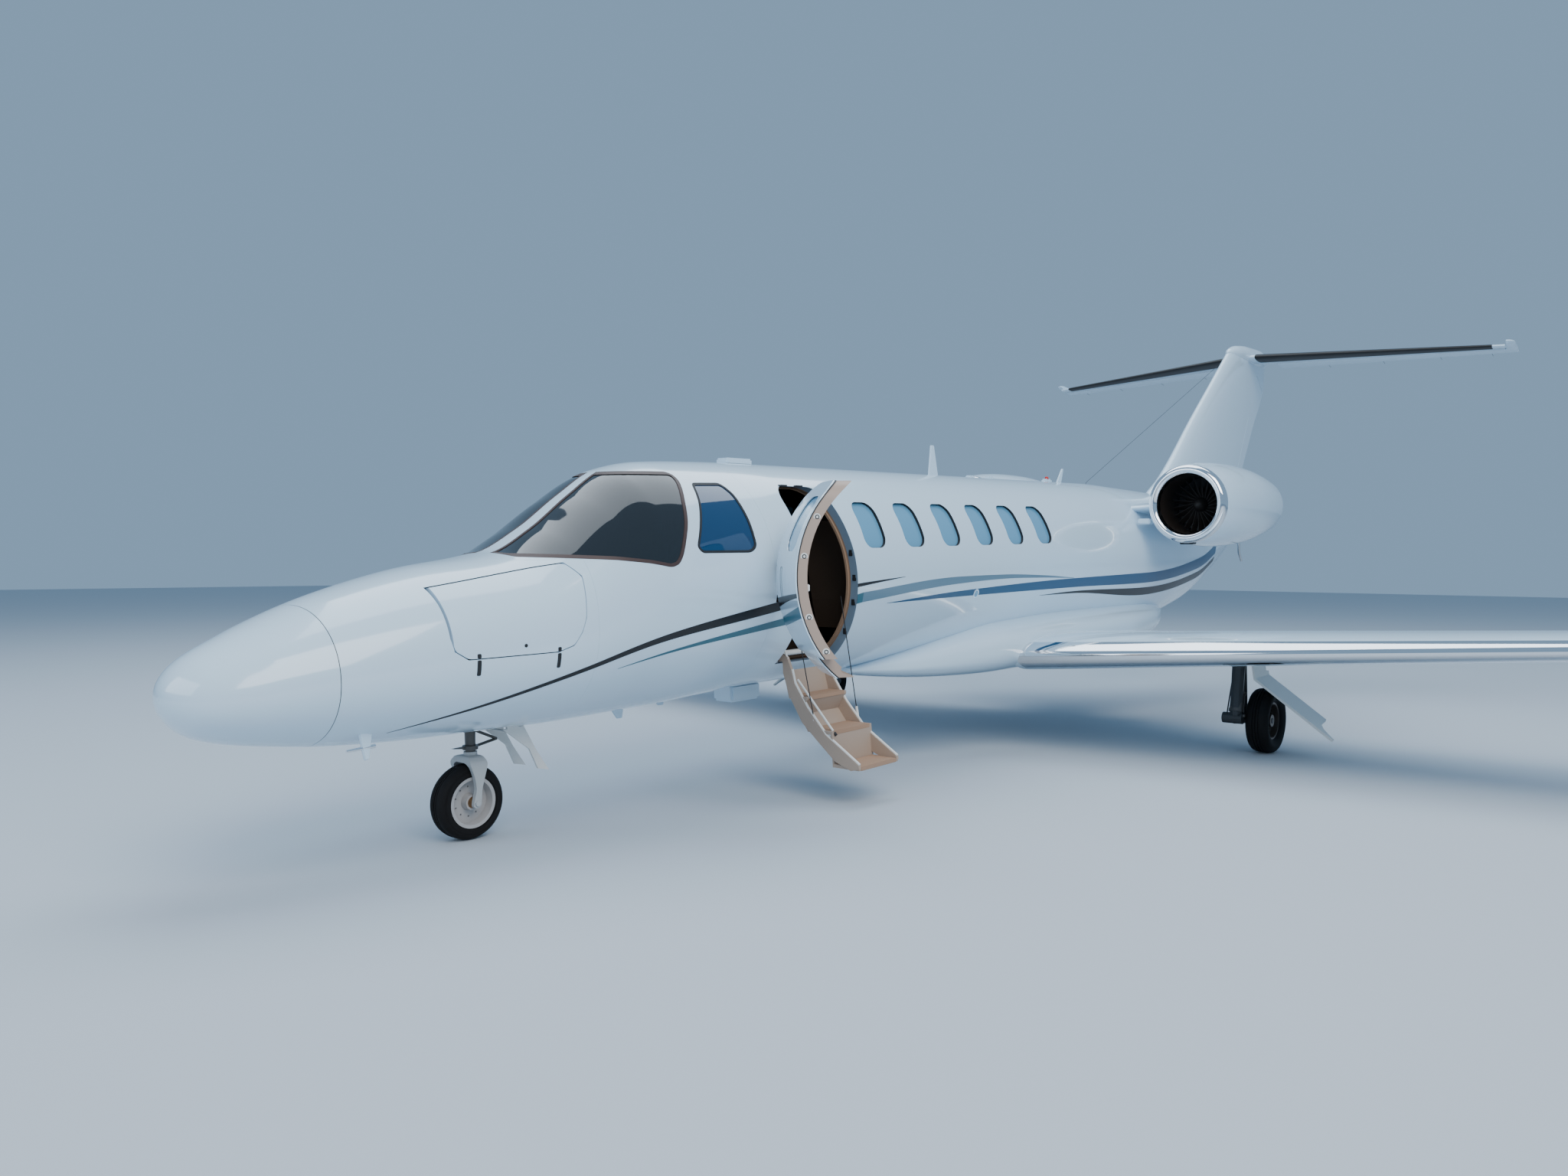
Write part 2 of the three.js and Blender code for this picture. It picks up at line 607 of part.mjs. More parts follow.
function cabinShell() {
  const door = sideways(doorOutline(), -900, -250);
  const slots = DOOR.armHeights.map((z) => block(3652, DOOR.front + 20, -900, -650, z - 24, z + 24));
  const [hx] = DOOR.hinge;
  slots.push(block(hx - 26, hx + 26, -776, -650, DOOR.armHeights[0] - 40, DOOR.armHeights[1] + 40));
  const bands = [windowBand(STARBOARD_WINDOWS, 1790, 2236, WINDOW_SKIN, WALL + 5),
    mirrorY(windowBand(PORT_WINDOWS, 1790, 2236, WINDOW_SKIN, WALL + 5))];
  const holes = [...STARBOARD_WINDOWS.map((n) => sideways(cabinWindow(n), 300, 900)),
    ...PORT_WINDOWS.map((n) => sideways(cabinWindow(n), -900, -300))];
  const inner = hull(COCKPIT_END - 50, CABIN_END - BULKHEAD, WALL);
  return cut(hull(COCKPIT_END + FIT, CABIN_END - FIT), inner, door, ...slots, ...bands, ...holes);
}

// The inner window panel of one side with its panes, seated in the wall's recess.
function windowPanel(numbers) {
  const { width, first, pitch } = CABIN_WINDOW;
  const backing = windowBand(numbers, 1791, 2235, WINDOW_SKIN + FIT, WINDOW_SKIN + 12)
    .intersect(block(first + numbers[0] * pitch - 59, first + numbers.at(-1) * pitch + width + 59,
      200, 900, 1791, 2235));
  const glass = sheet(3900, 7800, PANE_INSET, WINDOW_SKIN + 4);
  return join(backing, ...numbers.map((n) => glass.intersect(sideways(cabinWindow(n, -0.5), 300, 900))));
}

// The tail cone, a shell behind the cabin's aft wall and solid where it thins.
function tailCone() {
  return cut(hull(CABIN_END, TAIL_END), hull(CABIN_END - 20, TAIL_HOLLOW, WALL));
}

function fuselage() {
  add("radome", hull(NOSE_TIP, RADOME_END), "paint");
  add("nose_section", noseSection(), "paint");
  add("cockpit_shell", cockpitShell(), "paint");
  add("cabin_shell", cabinShell(), "paint");
  add("tail_cone", tailCone(), "paint");
  addPair("windshield", pane(windshieldTool(FIT), 1830, 3300), "glass");
  addPair("cockpit_window", pane(sideways(inward(COCKPIT_WINDOW, FIT), 200, 900), 2900, 3600), "glass");
  add("cabin_windows_right", windowPanel(STARBOARD_WINDOWS), "shade");
  add("cabin_windows_left", windowPanel(PORT_WINDOWS), "shade", port);
  addPair("baggage_door", baggageDoor(), "paint");
}

// Cabin door and airstair, drawn shut or down as the photograph's pose needs.
function cabinDoor() {
  const body = sheet(3900, 4640, 0, WALL).intersect(sideways(inward(doorOutline(), 6), -900, -250));
  const corners = [block(3900, DOOR_FOOT.front, -900, -200, 1000, DOOR_FOOT.top),
    block(DOOR_FOOT.aft, 4700, -900, -200, 1000, DOOR_FOOT.top)];
  const { width, first, pitch } = CABIN_WINDOW;
  const [hx, hy] = DOOR.hinge;
  const arms = DOOR.armHeights.map((z) => join(
    block(hx - 16, DOOR.front + 60, hy - 16, hy + 12, z - 14, z + 14),
    block(DOOR.front + 22, DOOR.front + 60, hy - 40, hy + 12, z - 14, z + 14)));
  const windowHole = sideways(roundedBox(first - pitch, first - pitch + width, CABIN_WINDOW.low,
    CABIN_WINDOW.high, CABIN_WINDOW.corner), -900, -300);
  const recess = sheet(3900, 4640, -5, PANE_INSET).intersect(windowHole);
  const pins = DOOR.armHeights.map((z) => bar([hx, hy, z - 40], [hx, hy, z + 40], 5.3, 5.3, 16));
  return cut(join(cut(body, ...corners).intersect(doorSwing()), ...arms), recess, ...pins);
}

// The pin of both door arms, held above and below in its pocket in the wall.
function doorPin() {
  const [hx, hy] = DOOR.hinge;
  const [low, high] = DOOR.armHeights;
  return bar([hx, hy, low - 40 + FIT], [hx, hy, high + 40 - FIT], 5, 5, 16);
}

// The airstair's side plates, treads and risers, drawn hanging down.
function airstair() {
  const { front, aft, rail, hinge, treads, board } = STAIR;
  const outboard = (outline) => outline.map(([o, z]) => [-o, z]);
  const pinHole = (x0, x1) => bar([x0, -hinge[0], hinge[1]], [x1, -hinge[0], hinge[1]], 8.5, 8.5, 12);
  const sides = [front, aft - rail].map((x) =>
    cut(lengthways(outboard(STAIR_SIDE), x, x + rail), pinHole(x - 5, x + rail + 5)));
  const boards = treads.map(([inner, nose, z]) => block(front + 5, aft - 5, -nose, -inner, z - board, z));
  const risers = STAIR_RISERS.map((outline) => lengthways(outboard(outline), front + 5, aft - 5));
  return join(...sides, ...boards, ...risers);
}

// The hinge rod with the two stands that carry it on the sill.
function stairHinge() {
  const { front, aft, hinge } = STAIR;
  const [y, z] = [-hinge[0], hinge[1]];
  const stands = [[front - 24, front - 6], [aft + 6, aft + 24]].map(([x0, x1]) =>
    block(x0, x1, y - 35, y + 35, DOOR.low + FIT, z + 16));
  return join(...stands, bar([front - 15, y, z], [aft + 15, y, z], 8, 8, 12));
}

// Furnishings.
function cabinFloor() {
  return hull(NOSE_END + 60, CABIN_END - BULKHEAD - FIT, WALL + FIT)
    .intersect(block(2000, 9000, -900, 900, FLOOR_TOP - FLOOR_THICK, FLOOR_TOP));
}

function instrumentPanel() {
  const inner = hull(2243, 2700, WALL + FIT);
  const face = inner.intersect(block(2400, 2450, -900, 900, 1330, 1780));
  const shield = inner.intersect(block(2260, 2560, -900, 900, 1760, 1784));
  const pedestal = block(2440, 2900, -110, 110, FLOOR_TOP + FIT, 1420);
  return join(face, shield, pedestal);
}

function seatShape({ width, depth, seat, back, head }) {
  const outline = [[0, 190], [depth, 190], [depth + 60, seat], [depth + 150, back], [depth + 60, back],
    [depth - 70, seat + 30], [0, seat + 20]];
  const body = sideways(outline, -width / 2, width / 2);
  const foot = block(depth * 0.2, depth * 0.8, -72, 72, 0, 200);
  const rest = [[depth + 62, back - 20], [depth + 152, back - 20], [depth + 165, head], [depth + 90, head]];
  return join(body, foot, sideways(rest, -width * 0.3, width * 0.3));
}

const PILOT_SEAT = { width: 430, depth: 400, seat: 400, back: 860, head: 1010 };
const CLUB_SEAT = { width: 410, depth: 430, seat: 410, back: 900, head: 1020 };
const CLUB_ROWS = [
  // station of the seat's front edge, facing aft
  [5330, true],
  [5960, false],
  [6980, false],
];
const SEAT_FOOT = FLOOR_TOP + FIT;

function cockpitSeats() {
  const pair = [-300, 300].map((y) => place(seatShape(PILOT_SEAT), [2960, y, SEAT_FOOT]));
  return join(...pair, block(3100, 3240, -300, 300, SEAT_FOOT, SEAT_FOOT + 25));
}

function cabinSeats() {
  const seats = CLUB_ROWS.flatMap(([station, aftFacing]) => [-318, 318].map((y) =>
    place(seatShape(CLUB_SEAT), [station, y, SEAT_FOOT], aftFacing ? [0, 0, Math.PI] : [0, 0, 0])));
  const tracks = [-318, 318].map((y) => block(4950, 7300, y - 15, y + 15, SEAT_FOOT, SEAT_FOOT + 14));
  return join(...seats, ...tracks, block(6150, 6190, -300, 300, SEAT_FOOT, SEAT_FOOT + 14));
}

function galley() {
  return hull(3670, 4200, WALL + FIT).intersect(block(3690, 4060, 230, 900, FLOOR_TOP + FIT, 2080));
}

function furnishings() {
  add("cabin_floor", cabinFloor(), "carpet");
  add("instrument_panel", instrumentPanel(), "dark");
  add("cockpit_seats", cockpitSeats(), "leather");
  add("cabin_seats", cabinSeats(), "leather");
  add("galley_cabinet", galley(), "tan");
}

// Wing, its polished leading edge, flap and aileron, and the fairing under the cabin.
const FAIRING_ROWS = [
  // station, half width, upper edge, bottom
  [5050, 330, 900, 842], [5500, 560, 1000, 770], [6100, 760, 1120, 712], [6700, 890, 1200, 688],
  [7900, 930, 1230, 684], [9000, 900, 1220, 700], [9800, 800, 1210, 780], [10500, 560, 1160, 900],
  [10900, 330, 1120, 985],
];
const FAIRING_POINTS = 16;

function bellyFairing() {
  const rings = FAIRING_ROWS.map(([station, half, upper, bottom]) =>
    [...Array(FAIRING_POINTS).keys()].map((i) => {
      const angle = (2 * Math.PI * i) / FAIRING_POINTS;
      const [c, s] = [Math.cos(angle), Math.sin(angle)];
      const middle = (upper + bottom) / 2;
      return new THREE.Vector3(station, half * Math.sign(c) * Math.abs(c) ** 0.7,
        middle + ((upper - bottom) / 2) * Math.sign(s) * Math.abs(s) ** 0.7);
    }));
  return loft(rings).subtract(hull(4500, 11400, -FIT));
}

function wing() {
  const whole = panel(WING);
  const edgeLine = (y, extra) => {
    const { lead, chord } = along(WING, y);
    return [lead + chord * WING.edge + extra, y];
  };
  const edgeTool = (extra) => upright(
    [[6000, 0], edgeLine(700, extra), edgeLine(8300, extra), [6000, 8300]], 0, 2000);
  const edge = whole.intersect(edgeTool(0)).intersect(block(6000, 9000, 860, 8050, 0, 2000));
  let rest = whole.subtract(edgeTool(FIT).intersect(block(6000, 9000, 860 - FIT, 8050 + FIT, 0, 2000)));
  const up = new THREE.Vector3(0, 0, 1);
  const moving = {};
  for (const [name, { from, to, chord }] of Object.entries({ flap: FLAP, aileron: AILERON })) {
    const [a, b] = hingeOn(WING, from, to, chord);
    const parts = splitAtHinge(rest, a.point, b.point, a.radius, b.radius, up);
    rest = parts.fixed;
    moving[name] = parts.moving;
  }
  const { station, y, radius, face } = JACK_PAD;
  const pad = bar([station, y, 900], [station, y, face], radius, radius, 24);
  return { rest: join(rest, pad), edge, ...moving };
}

function wings() {
  const { rest, edge, flap, aileron } = wing();
  addPair("wing", rest, "paint");
  addPair("leading_edge", edge, "polished");
  addPair("flap", flap, "paint");
  addPair("aileron", aileron, "paint");
  const seat = grownPanel(WING);
  add("belly_fairing", cut(bellyFairing(), seat, mirrorY(seat)), "paint");
}

// A flying surface with the fit gap round it, to cut its seat in what it meets.
function grownPanel({ root, tip, capY }) {
  const grown = (row) => ({
    ...row, lead: row.lead - 3, chord: row.chord + 8, thick: row.thick + 1.2 / row.chord,
  });
  return panel({ root: { ...grown(root), y: root.y - FIT }, tip: grown(tip), capY: capY + 1 });
}

// Tail: fin with its dorsal fillet and top fairing, rudder, stabilizer and elevators.
function finShape() {
  return loft(FIN_ROWS.map(([z, lead, trail, half]) => foil(lead, trail - lead, (2 * half) / (trail - lead),
    (x, h) => new THREE.Vector3(x, h, z))));
}

function finTop() {
  const rows = [
    // station, half width, half height, height of the middle
    [14080, 12, 12, 4408], [14160, 60, 60, 4412], [14350, 104, 108, 4422], [14700, 128, 130, 4430],
    [15200, 118, 128, 4436], [15500, 70, 85, 4424], [15620, 20, 30, 4410],
  ];
  return loft(rows.map(([x, half, rise, z]) => [...Array(12).keys()].map((i) => {
    const angle = (2 * Math.PI * i) / 12;
    return new THREE.Vector3(x, half * Math.cos(angle), z + rise * Math.sin(angle));
  })));
}

function tail() {
  const top = finTop();
  const side = new THREE.Vector3(0, 1, 0);
  const { low, high, lowRadius, highRadius } = RUDDER;
  const wholeFin = finShape().subtract(hull(10500, TAIL_END, -FIT));
  const fin = splitAtHinge(wholeFin, [low[0], 0, low[1]], [high[0], 0, high[1]], lowRadius, highRadius, side);
  const halfStab = panel(STAB);
  const [a, b] = hingeOn(STAB, ELEVATOR.from, ELEVATOR.to, ELEVATOR.chord);
  const parts = splitAtHinge(halfStab, a.point, b.point, a.radius, b.radius, new THREE.Vector3(0, 0, 1),
    ELEVATOR.horn);
  const stabilizer = join(parts.fixed, mirrorY(parts.fixed));
  const stabHole = grownPanel(STAB);
  const finWhole = join(fin.fixed, top);
  add("fin", cut(finWhole, stabHole, mirrorY(stabHole)), "paint");
  add("rudder", fin.moving.subtract(hull(10500, TAIL_END, -RUN)), "paint");
  add("stabilizer", stabilizer, "paint");
  const elevator = toGeometry(parts.moving);
  for (const [name, parent] of [["elevator_right", level], ["elevator_left", port]]) {
    const mesh = new THREE.Mesh(elevator.clone().translate(...a.point.map((v) => -v)), materials.paint);
    mesh.name = name;
    const axis = new THREE.Vector3(...b.point).sub(new THREE.Vector3(...a.point)).normalize();
    mesh.quaternion.setFromAxisAngle(axis, ELEVATOR.droop);
    mesh.position.set(...a.point);
    parent.add(mesh);
  }
}

// Engines: nacelle with its inlet lip, fan, engine block and pylon.
function tube(outer, inner, sides = 32) {
  return turned([...outer, ...[...inner].reverse(), outer[0]], sides);
}

function nacelleBody() {
  const { inletBore } = ENGINE;
  const duct = [[inletBore, 95], [inletBore, 560], [310, 700], [330, 1200], [300, 1700], [300, 1990]];
  const body = tube(NACELLE_OUTER.map(([x, r]) => [r, x]), duct, 20);
  const chevrons = [1, -1].map((up) => toSolid(new THREE.BoxGeometry(900, 900, 900)
    .rotateY(up * THREE.MathUtils.degToRad(38)).translate(2230, 0, up * 610)));
  return cut(place(body, [0, 0, 0], [0, Math.PI / 2, 0]), ...chevrons);
}

function inletLip() {
  const { inletBore } = ENGINE;
  const arc = [[inletBore, 95 - FIT], [inletBore, 50], [inletBore + 14, 18], [inletBore + 36, 2],
    [inletBore + 62, 8], [inletBore + 92, 42], [398, 95 - FIT], [inletBore, 95 - FIT]];
  return place(turned(arc, 20), [0, 0, 0], [0, Math.PI / 2, 0]);
}

function fanShape() {
  const hub = place(turned([[0, -120], [40, -95], [80, -10], [80, 60], [0, 60]], 10), [0, 0, 0],
    [0, Math.PI / 2, 0]);
  const blades = [...Array(10).keys()].map((i) => {
    const blade = toSolid(new THREE.BoxGeometry(84, 7, 212).rotateZ(0.55).translate(26, 0, 168));
    return place(blade, [0, 0, 0], [(2 * Math.PI * i) / 10, 0, 0]);
  });
  const bore = bar([10, 0, 0], [80, 0, 0], 20.7, 20.7, 12);
  return cut(join(hub, ...blades), bore);
}

function engineBlock() {
  const { inletBore } = ENGINE;
  const profile = [[0, 100], [inletBore - FIT * 2, 100], [inletBore - FIT * 2, 128], [240, 150],
    [240, 900], [150, 1180], [60, 1420], [0, 1440]];
  const shaft = bar([30, 0, 0], [110, 0, 0], 20, 20, 12);
  return join(shaft, place(turned(profile, 20), [0, 0, 0], [0, Math.PI / 2, 0]));
}

function pylon() {
  const { inlet, y, z } = ENGINE;
  const rows = [[560, z - 30], [y, z]].map(([side, height]) =>
    foil(inlet + 230, 1500, 0.085, (x, h) => new THREE.Vector3(x, side, height + h)));
  const nacelle = place(turned([[0, 90], ...NACELLE_OUTER.map(([x, r]) => [r + FIT, x]), [0, 1990]], 20),
    [inlet, y, z], [0, Math.PI / 2, 0]);
  return cut(loft(rows), nacelle, hull(8950, 12500, -FIT));
}

function engines() {
  const { inlet, y, z, fan } = ENGINE;
  for (const [side, parent] of [["right", level], ["left", port]]) {
    const pod = new THREE.Group();
    pod.position.set(inlet, y, z);
    parent.add(pod);
    add("nacelle_" + side, nacelleBody(), "paint", pod);
    add("inlet_lip_" + side, inletLip(), "polished", pod);
    const core = add("engine_" + side, engineBlock(), "darkGear", pod);
    core.position.x = fan - inlet;
    const rotor = add("fan_" + side, fanShape(), "fan", pod);
    rotor.position.x = fan - inlet;
  }
  addPair("pylon", pylon(), "paint");
}

// Landing gear.
function tyreShape({ radius, half, rim, bead }) {
  const outer = [[rim, half * bead], [rim + 20, half * Math.max(0.9, bead)], [radius - 30, half],
    [radius - 6, half * 0.64], [radius, half * 0.25]];
  const ring = [...outer, ...[...outer].reverse().map(([r, h]) => [r, -h]), outer[0]];
  return place(turned(ring, WHEEL_SIDES), [0, 0, 0], [Math.PI / 2, 0, 0]);
}

function rimShape({ half, rim, bead }, bore) {
  const r = rim - FIT;
  const flange = half * bead;
  const profile = [[bore, -flange], [bore + 30, -flange], [bore + 34, -14], [r - 18, -14], [r - 8, -flange],
    [r, -flange], [r, flange], [r - 8, flange], [r - 18, 14], [bore + 34, 14], [bore + 30, flange],
    [bore, flange], [bore, -flange]];
  return place(turned(profile, WHEEL_SIDES), [0, 0, 0], [Math.PI / 2, 0, 0]);
}

// The fork, drawn from the axle: two arms, narrow at the axle and wide under the crown.
function noseFork(axle) {
  const { radius, half, strut } = NOSE_GEAR;
  const [inside, outside] = [half + 10, half + 34];
  const [low, high] = [radius + 12, radius + 46];
  const arm = [[-24, -16], [-10, -28], [12, -28], [26, -14], [30, 20], [35, 78], [64, 176], [78, low],
    [78, high], [-38, high], [-42, low], [-10, 146], [-1, 78], [-20, 14]];
  const arms = [sideways(arm, inside, outside), sideways(arm, -outside, -inside)];
  const crown = block(-38, 78, -outside, outside, low, high);
  const pin = bar([0, -outside - 11, 0], [0, outside + 11, 0], axle, axle, 16);
  const swivel = bar([strut, 0, high - 4], [strut, 0, radius + 70 - FIT], 40, 40, 20);
  return join(...arms, crown, pin, swivel);
}

// The leg above the fork, with its steering collar, torque link and drag brace.
function noseLeg(height) {
  const { radius, strut, legTop } = NOSE_GEAR;
  const top = legTop - height;
  const wall = NOSE_WELL.half - FIT;
  const leg = bar([strut, 0, radius + 70], [strut, 0, top + 60], 30, 36, 20);
  const cross = bar([strut, -wall, top], [strut, wall, top], 24, 24, 12);
  const brace = bar([strut + 20, 0, radius + 200], [290, 0, NOSE_WELL.roof - height - 16], 16, 16, 8);
  const collar = bar([strut, 0, radius + 82], [strut, 0, radius + 106], 46, 46, 20);
  const tongue = sideways([[-89, radius + 100], [strut, radius + 84], [strut, radius + 104]], -14, 14);
  const knee = [216, 0, radius + 120];
  const links = [bar([strut + 30, 0, radius + 94], knee, 9, 9, 8), bar(knee, [60, 0, radius + 193], 9, 9, 8)];
  return join(leg, cross, brace, collar, tongue, ...links);
}

function noseGearDoors() {
  const outline = [[1935, 806], [2080, 812], [2170, 650], [2262, 515], [2180, 535], [2118, 665]];
  const [inside, outside] = [112, 126];
  const wall = NOSE_WELL.half - FIT;
  const right = join(sideways(outline, inside, outside), block(1960, 2040, inside, wall, 801, 880));
  const yoke = bar([2000, -inside - 6, 780], [2000, inside + 6, 780], 8, 8, 10);
  return join(right, mirrorY(right), yoke);
}

function noseGear() {
  const { station, radius } = NOSE_GEAR;
  const axle = 16;
  const height = wheelHeight(station, radius);
  const gear = new THREE.Group();
  gear.position.set(station, 0, height);
  level.add(gear);
  add("nose_tyre", tyreShape(NOSE_GEAR), "rubber", gear);
  add("nose_rim", rimShape(NOSE_GEAR, axle + 0.6), "paint", gear);
  add("nose_fork", noseFork(axle), "greyPaint", gear);
  add("nose_leg", noseLeg(height), "steel", gear);
  add("nose_gear_doors", noseGearDoors(), "paint");
}

// The starboard trailing-link leg, inboard of the wheel.
function mainLeg(height, axle) {
  const { station, y, half } = MAIN_GEAR;
  const under = along(WING, y - 190).z - 95;
  const inner = y - half - 50;
  const [top, front] = [station - 175, station - 285];
  const kneeEnd = [inner - 120, inner + 48];
  return cut(join(
    bar([top, inner - 14, under + 120], [front, inner - 14, height + 60], 60, 50, 8),
    bar([front, kneeEnd[0], height + 40], [front, kneeEnd[1], height + 40], 48, 48, 12),
    bar([front, inner - 20, height + 35], [station + 5, inner - 20, height - 5], 46, 38, 8),
    bar([station - 60, inner - 20, height + 40], [station - 90, inner - 20, under + 60], 32, 30, 8),
    bar([station, inner - 45, height], [station, y + half * 0.6, height], axle, axle, 16),
    bar([top, inner - 90, under + 60], [top, inner + 50, under + 60], 34, 34, 8),
  ), grownPanel(WING));
}

// The starboard gear door, hanging outboard of the wheel. Its lower end is notched, and its upper aft
// corner is cut away for the flap.
function mainGearDoor() {
  const { station, y } = MAIN_GEAR;
  const slab = 14;
  const path = [[y - 62, 898], [y - 25, 652], [y + 605, 183]];
  const outer = path.map(([a, b]) => [a + slab, b + slab * 0.9]).reverse();
  const [front, aft] = [station - 245, station + 115];
  const end = [[front + 30, 100], [front + 40, 205], [front + 90, 268], [front + 150, 294],
    [front + 280, 300], [aft + 20, 312], [aft + 20, 100]];
  const corner = block(station + 55, aft + 20, y - 100, y + 100, 700, 1000);
  const slanted = lengthways([...path, ...outer], front, aft);
  return cut(slanted, sideways(end, y, y + 900), corner, grownPanel(WING));
}

function mainGear() {
  const { station, y, radius } = MAIN_GEAR;
  const axle = 24;
  const height = wheelHeight(station, radius);
  const leg = mainLeg(height, axle);
  const gearDoor = mainGearDoor();
  for (const [side, parent] of [["right", level], ["left", port]]) {
    const wheel = new THREE.Group();
    wheel.position.set(station, y, height);
    parent.add(wheel);
    add("main_tyre_" + side, tyreShape(MAIN_GEAR), "rubber", wheel);
    add("main_rim_" + side, rimShape(MAIN_GEAR, axle + 0.7), "greyPaint", wheel);
    add("main_leg_" + side, leg, "darkGear", parent);
    add("main_gear_door_" + side, gearDoor, "paint", parent);
  }
}

function door() {
  const [hx, hy] = DOOR.hinge;
  const mesh = new THREE.Mesh(toGeometry(cabinDoor()).translate(-hx, -hy, 0), materials.paint);
  mesh.name = "cabin_door";
  mesh.position.set(hx, hy, 0);
  mesh.rotation.z = -DOOR.open;
  level.add(mesh);
  add("door_hinge_pin", doorPin(), "steel");
  add("airstair", airstair(), "tan");
  add("stair_hinge", stairHinge(), "steel");
}

fuselage();
door();
furnishings();
wings();
tail();
engines();
noseGear();
mainGear();

export default jet;
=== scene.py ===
"""Looks for the light business jet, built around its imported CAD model."""

import math
from contextlib import contextmanager

import bmesh
import bpy
import numpy as np
from mathutils import Matrix, Vector


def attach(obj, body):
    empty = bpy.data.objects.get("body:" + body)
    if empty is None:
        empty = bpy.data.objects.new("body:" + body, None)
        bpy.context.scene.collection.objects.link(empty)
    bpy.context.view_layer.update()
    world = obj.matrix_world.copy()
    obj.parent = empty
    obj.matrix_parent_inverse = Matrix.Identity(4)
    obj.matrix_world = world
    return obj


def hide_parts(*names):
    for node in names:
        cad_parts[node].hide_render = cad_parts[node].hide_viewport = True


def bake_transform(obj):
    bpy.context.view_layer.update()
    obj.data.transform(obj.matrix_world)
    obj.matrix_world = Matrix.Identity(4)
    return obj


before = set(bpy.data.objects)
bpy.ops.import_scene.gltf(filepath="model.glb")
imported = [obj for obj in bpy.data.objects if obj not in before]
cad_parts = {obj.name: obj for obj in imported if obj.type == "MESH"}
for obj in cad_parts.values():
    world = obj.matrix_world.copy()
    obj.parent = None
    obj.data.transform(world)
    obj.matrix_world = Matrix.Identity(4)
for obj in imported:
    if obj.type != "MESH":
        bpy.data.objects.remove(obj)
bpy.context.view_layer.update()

# Stance: the airframe is drawn level, in metres of station, side distance and height, and then tilted.
NOSE_DOWN = math.radians(1.58)
TILT_STATION = 8.0
ORIGIN_STATION = 7.8245

# Fuselage sections: station, top, bottom, half width, fullness of the upper half.
SECTIONS = np.array([
    (0.07, 1.191, 1.191, 0.001, 2.0), (0.1, 1.285, 1.084, 0.147, 2.0), (0.19, 1.373, 0.993, 0.282, 2.0),
    (0.37, 1.466, 0.931, 0.397, 2.0), (0.5, 1.522, 0.906, 0.45, 2.1), (0.9, 1.667, 0.851, 0.551, 2.12),
    (1.4, 1.787, 0.822, 0.632, 2.2), (1.9, 1.858, 0.812, 0.682, 2.4), (2.2, 2.005, 0.8, 0.706, 2.4),
    (2.5, 2.212, 0.8, 0.72, 2.28), (2.8, 2.386, 0.803, 0.735, 2.13), (3.1, 2.446, 0.808, 0.758, 2.05),
    (3.5, 2.464, 0.825, 0.79, 2.0), (4.0, 2.472, 0.844, 0.814, 2.0), (9.4, 2.472, 0.844, 0.814, 2.0),
    (10.2, 2.445, 0.87, 0.795, 2.0), (11.4, 2.4, 1.01, 0.68, 2.0), (12.5, 2.37, 1.3, 0.5, 2.0),
    (13.5, 2.36, 1.65, 0.33, 2.0), (14.3, 2.36, 1.96, 0.2, 2.0), (14.85, 2.33, 2.19, 0.07, 2.0)])
NOSE_TIP = 0.07
WALL = 0.065
RING = 96
RADOME_END = 0.725
NOSE_END = 2.2
COWL_STATION = 1.86
COWL_HEIGHT = 1.815
COCKPIT_END = 3.64
BULKHEAD = 0.04
CABIN_END = 8.9
TAIL_HOLLOW = 13.3
TAIL_END = 14.85

# Openings in the skin, as station and height.
WINDSHIELD_SIDE = [
    (1.905, 1.836), (2.39, 1.806), (2.62, 1.78), (2.77, 1.752), (2.83, 1.77), (2.87, 1.822), (2.97, 2.02),
    (3.03, 2.168), (3.105, 2.3), (3.112, 2.345), (3.08, 2.366), (1.905, 2.366)]
POST_HALF_BASE = 0.08
POST_HALF_TOP = 0.042
COCKPIT_WINDOW = [
    (3.188, 2.292), (3.138, 2.168), (2.99, 1.876), (3.024, 1.834), (3.44, 1.83), (3.5, 1.868),
    (3.502, 2.043), (3.49, 2.225), (3.445, 2.298)]
CABIN_WINDOW = {
    "width": 0.266, "low": 1.841, "high": 2.183, "corner": 0.085, "first": 4.647, "pitch": 0.5185}
PORT_WINDOWS = range(6)
STARBOARD_WINDOWS = range(-1, 6)

# Cabin door. Its hinge is a station and a side distance.
DOOR_FRONT, DOOR_LOW, DOOR_HIGH, DOOR_CORNER = 3.918, 1.04, 2.29, 0.12
DOOR_HINGE = (3.726, -0.751)
DOOR_OPEN = math.radians(127)
DOOR_AFT_EDGE = [
    (1.04, 4.58), (1.38, 4.544), (1.6, 4.519), (1.83, 4.492), (2.17, 4.44), (2.29, 4.415)]
ARM_HEIGHTS = (1.52, 1.72)
FOOT_TOP, FOOT_FRONT, FOOT_AFT = 1.185, 4.032, 4.4

BAY_DOOR = [
    (1.285, 1.42), (1.3, 1.35), (1.376, 1.3), (1.925, 1.3), (2.03, 1.33), (2.085, 1.4), (2.118, 1.48),
    (2.15, 1.72), (2.092, 1.8), (1.276, 1.684), (1.284, 1.6)]

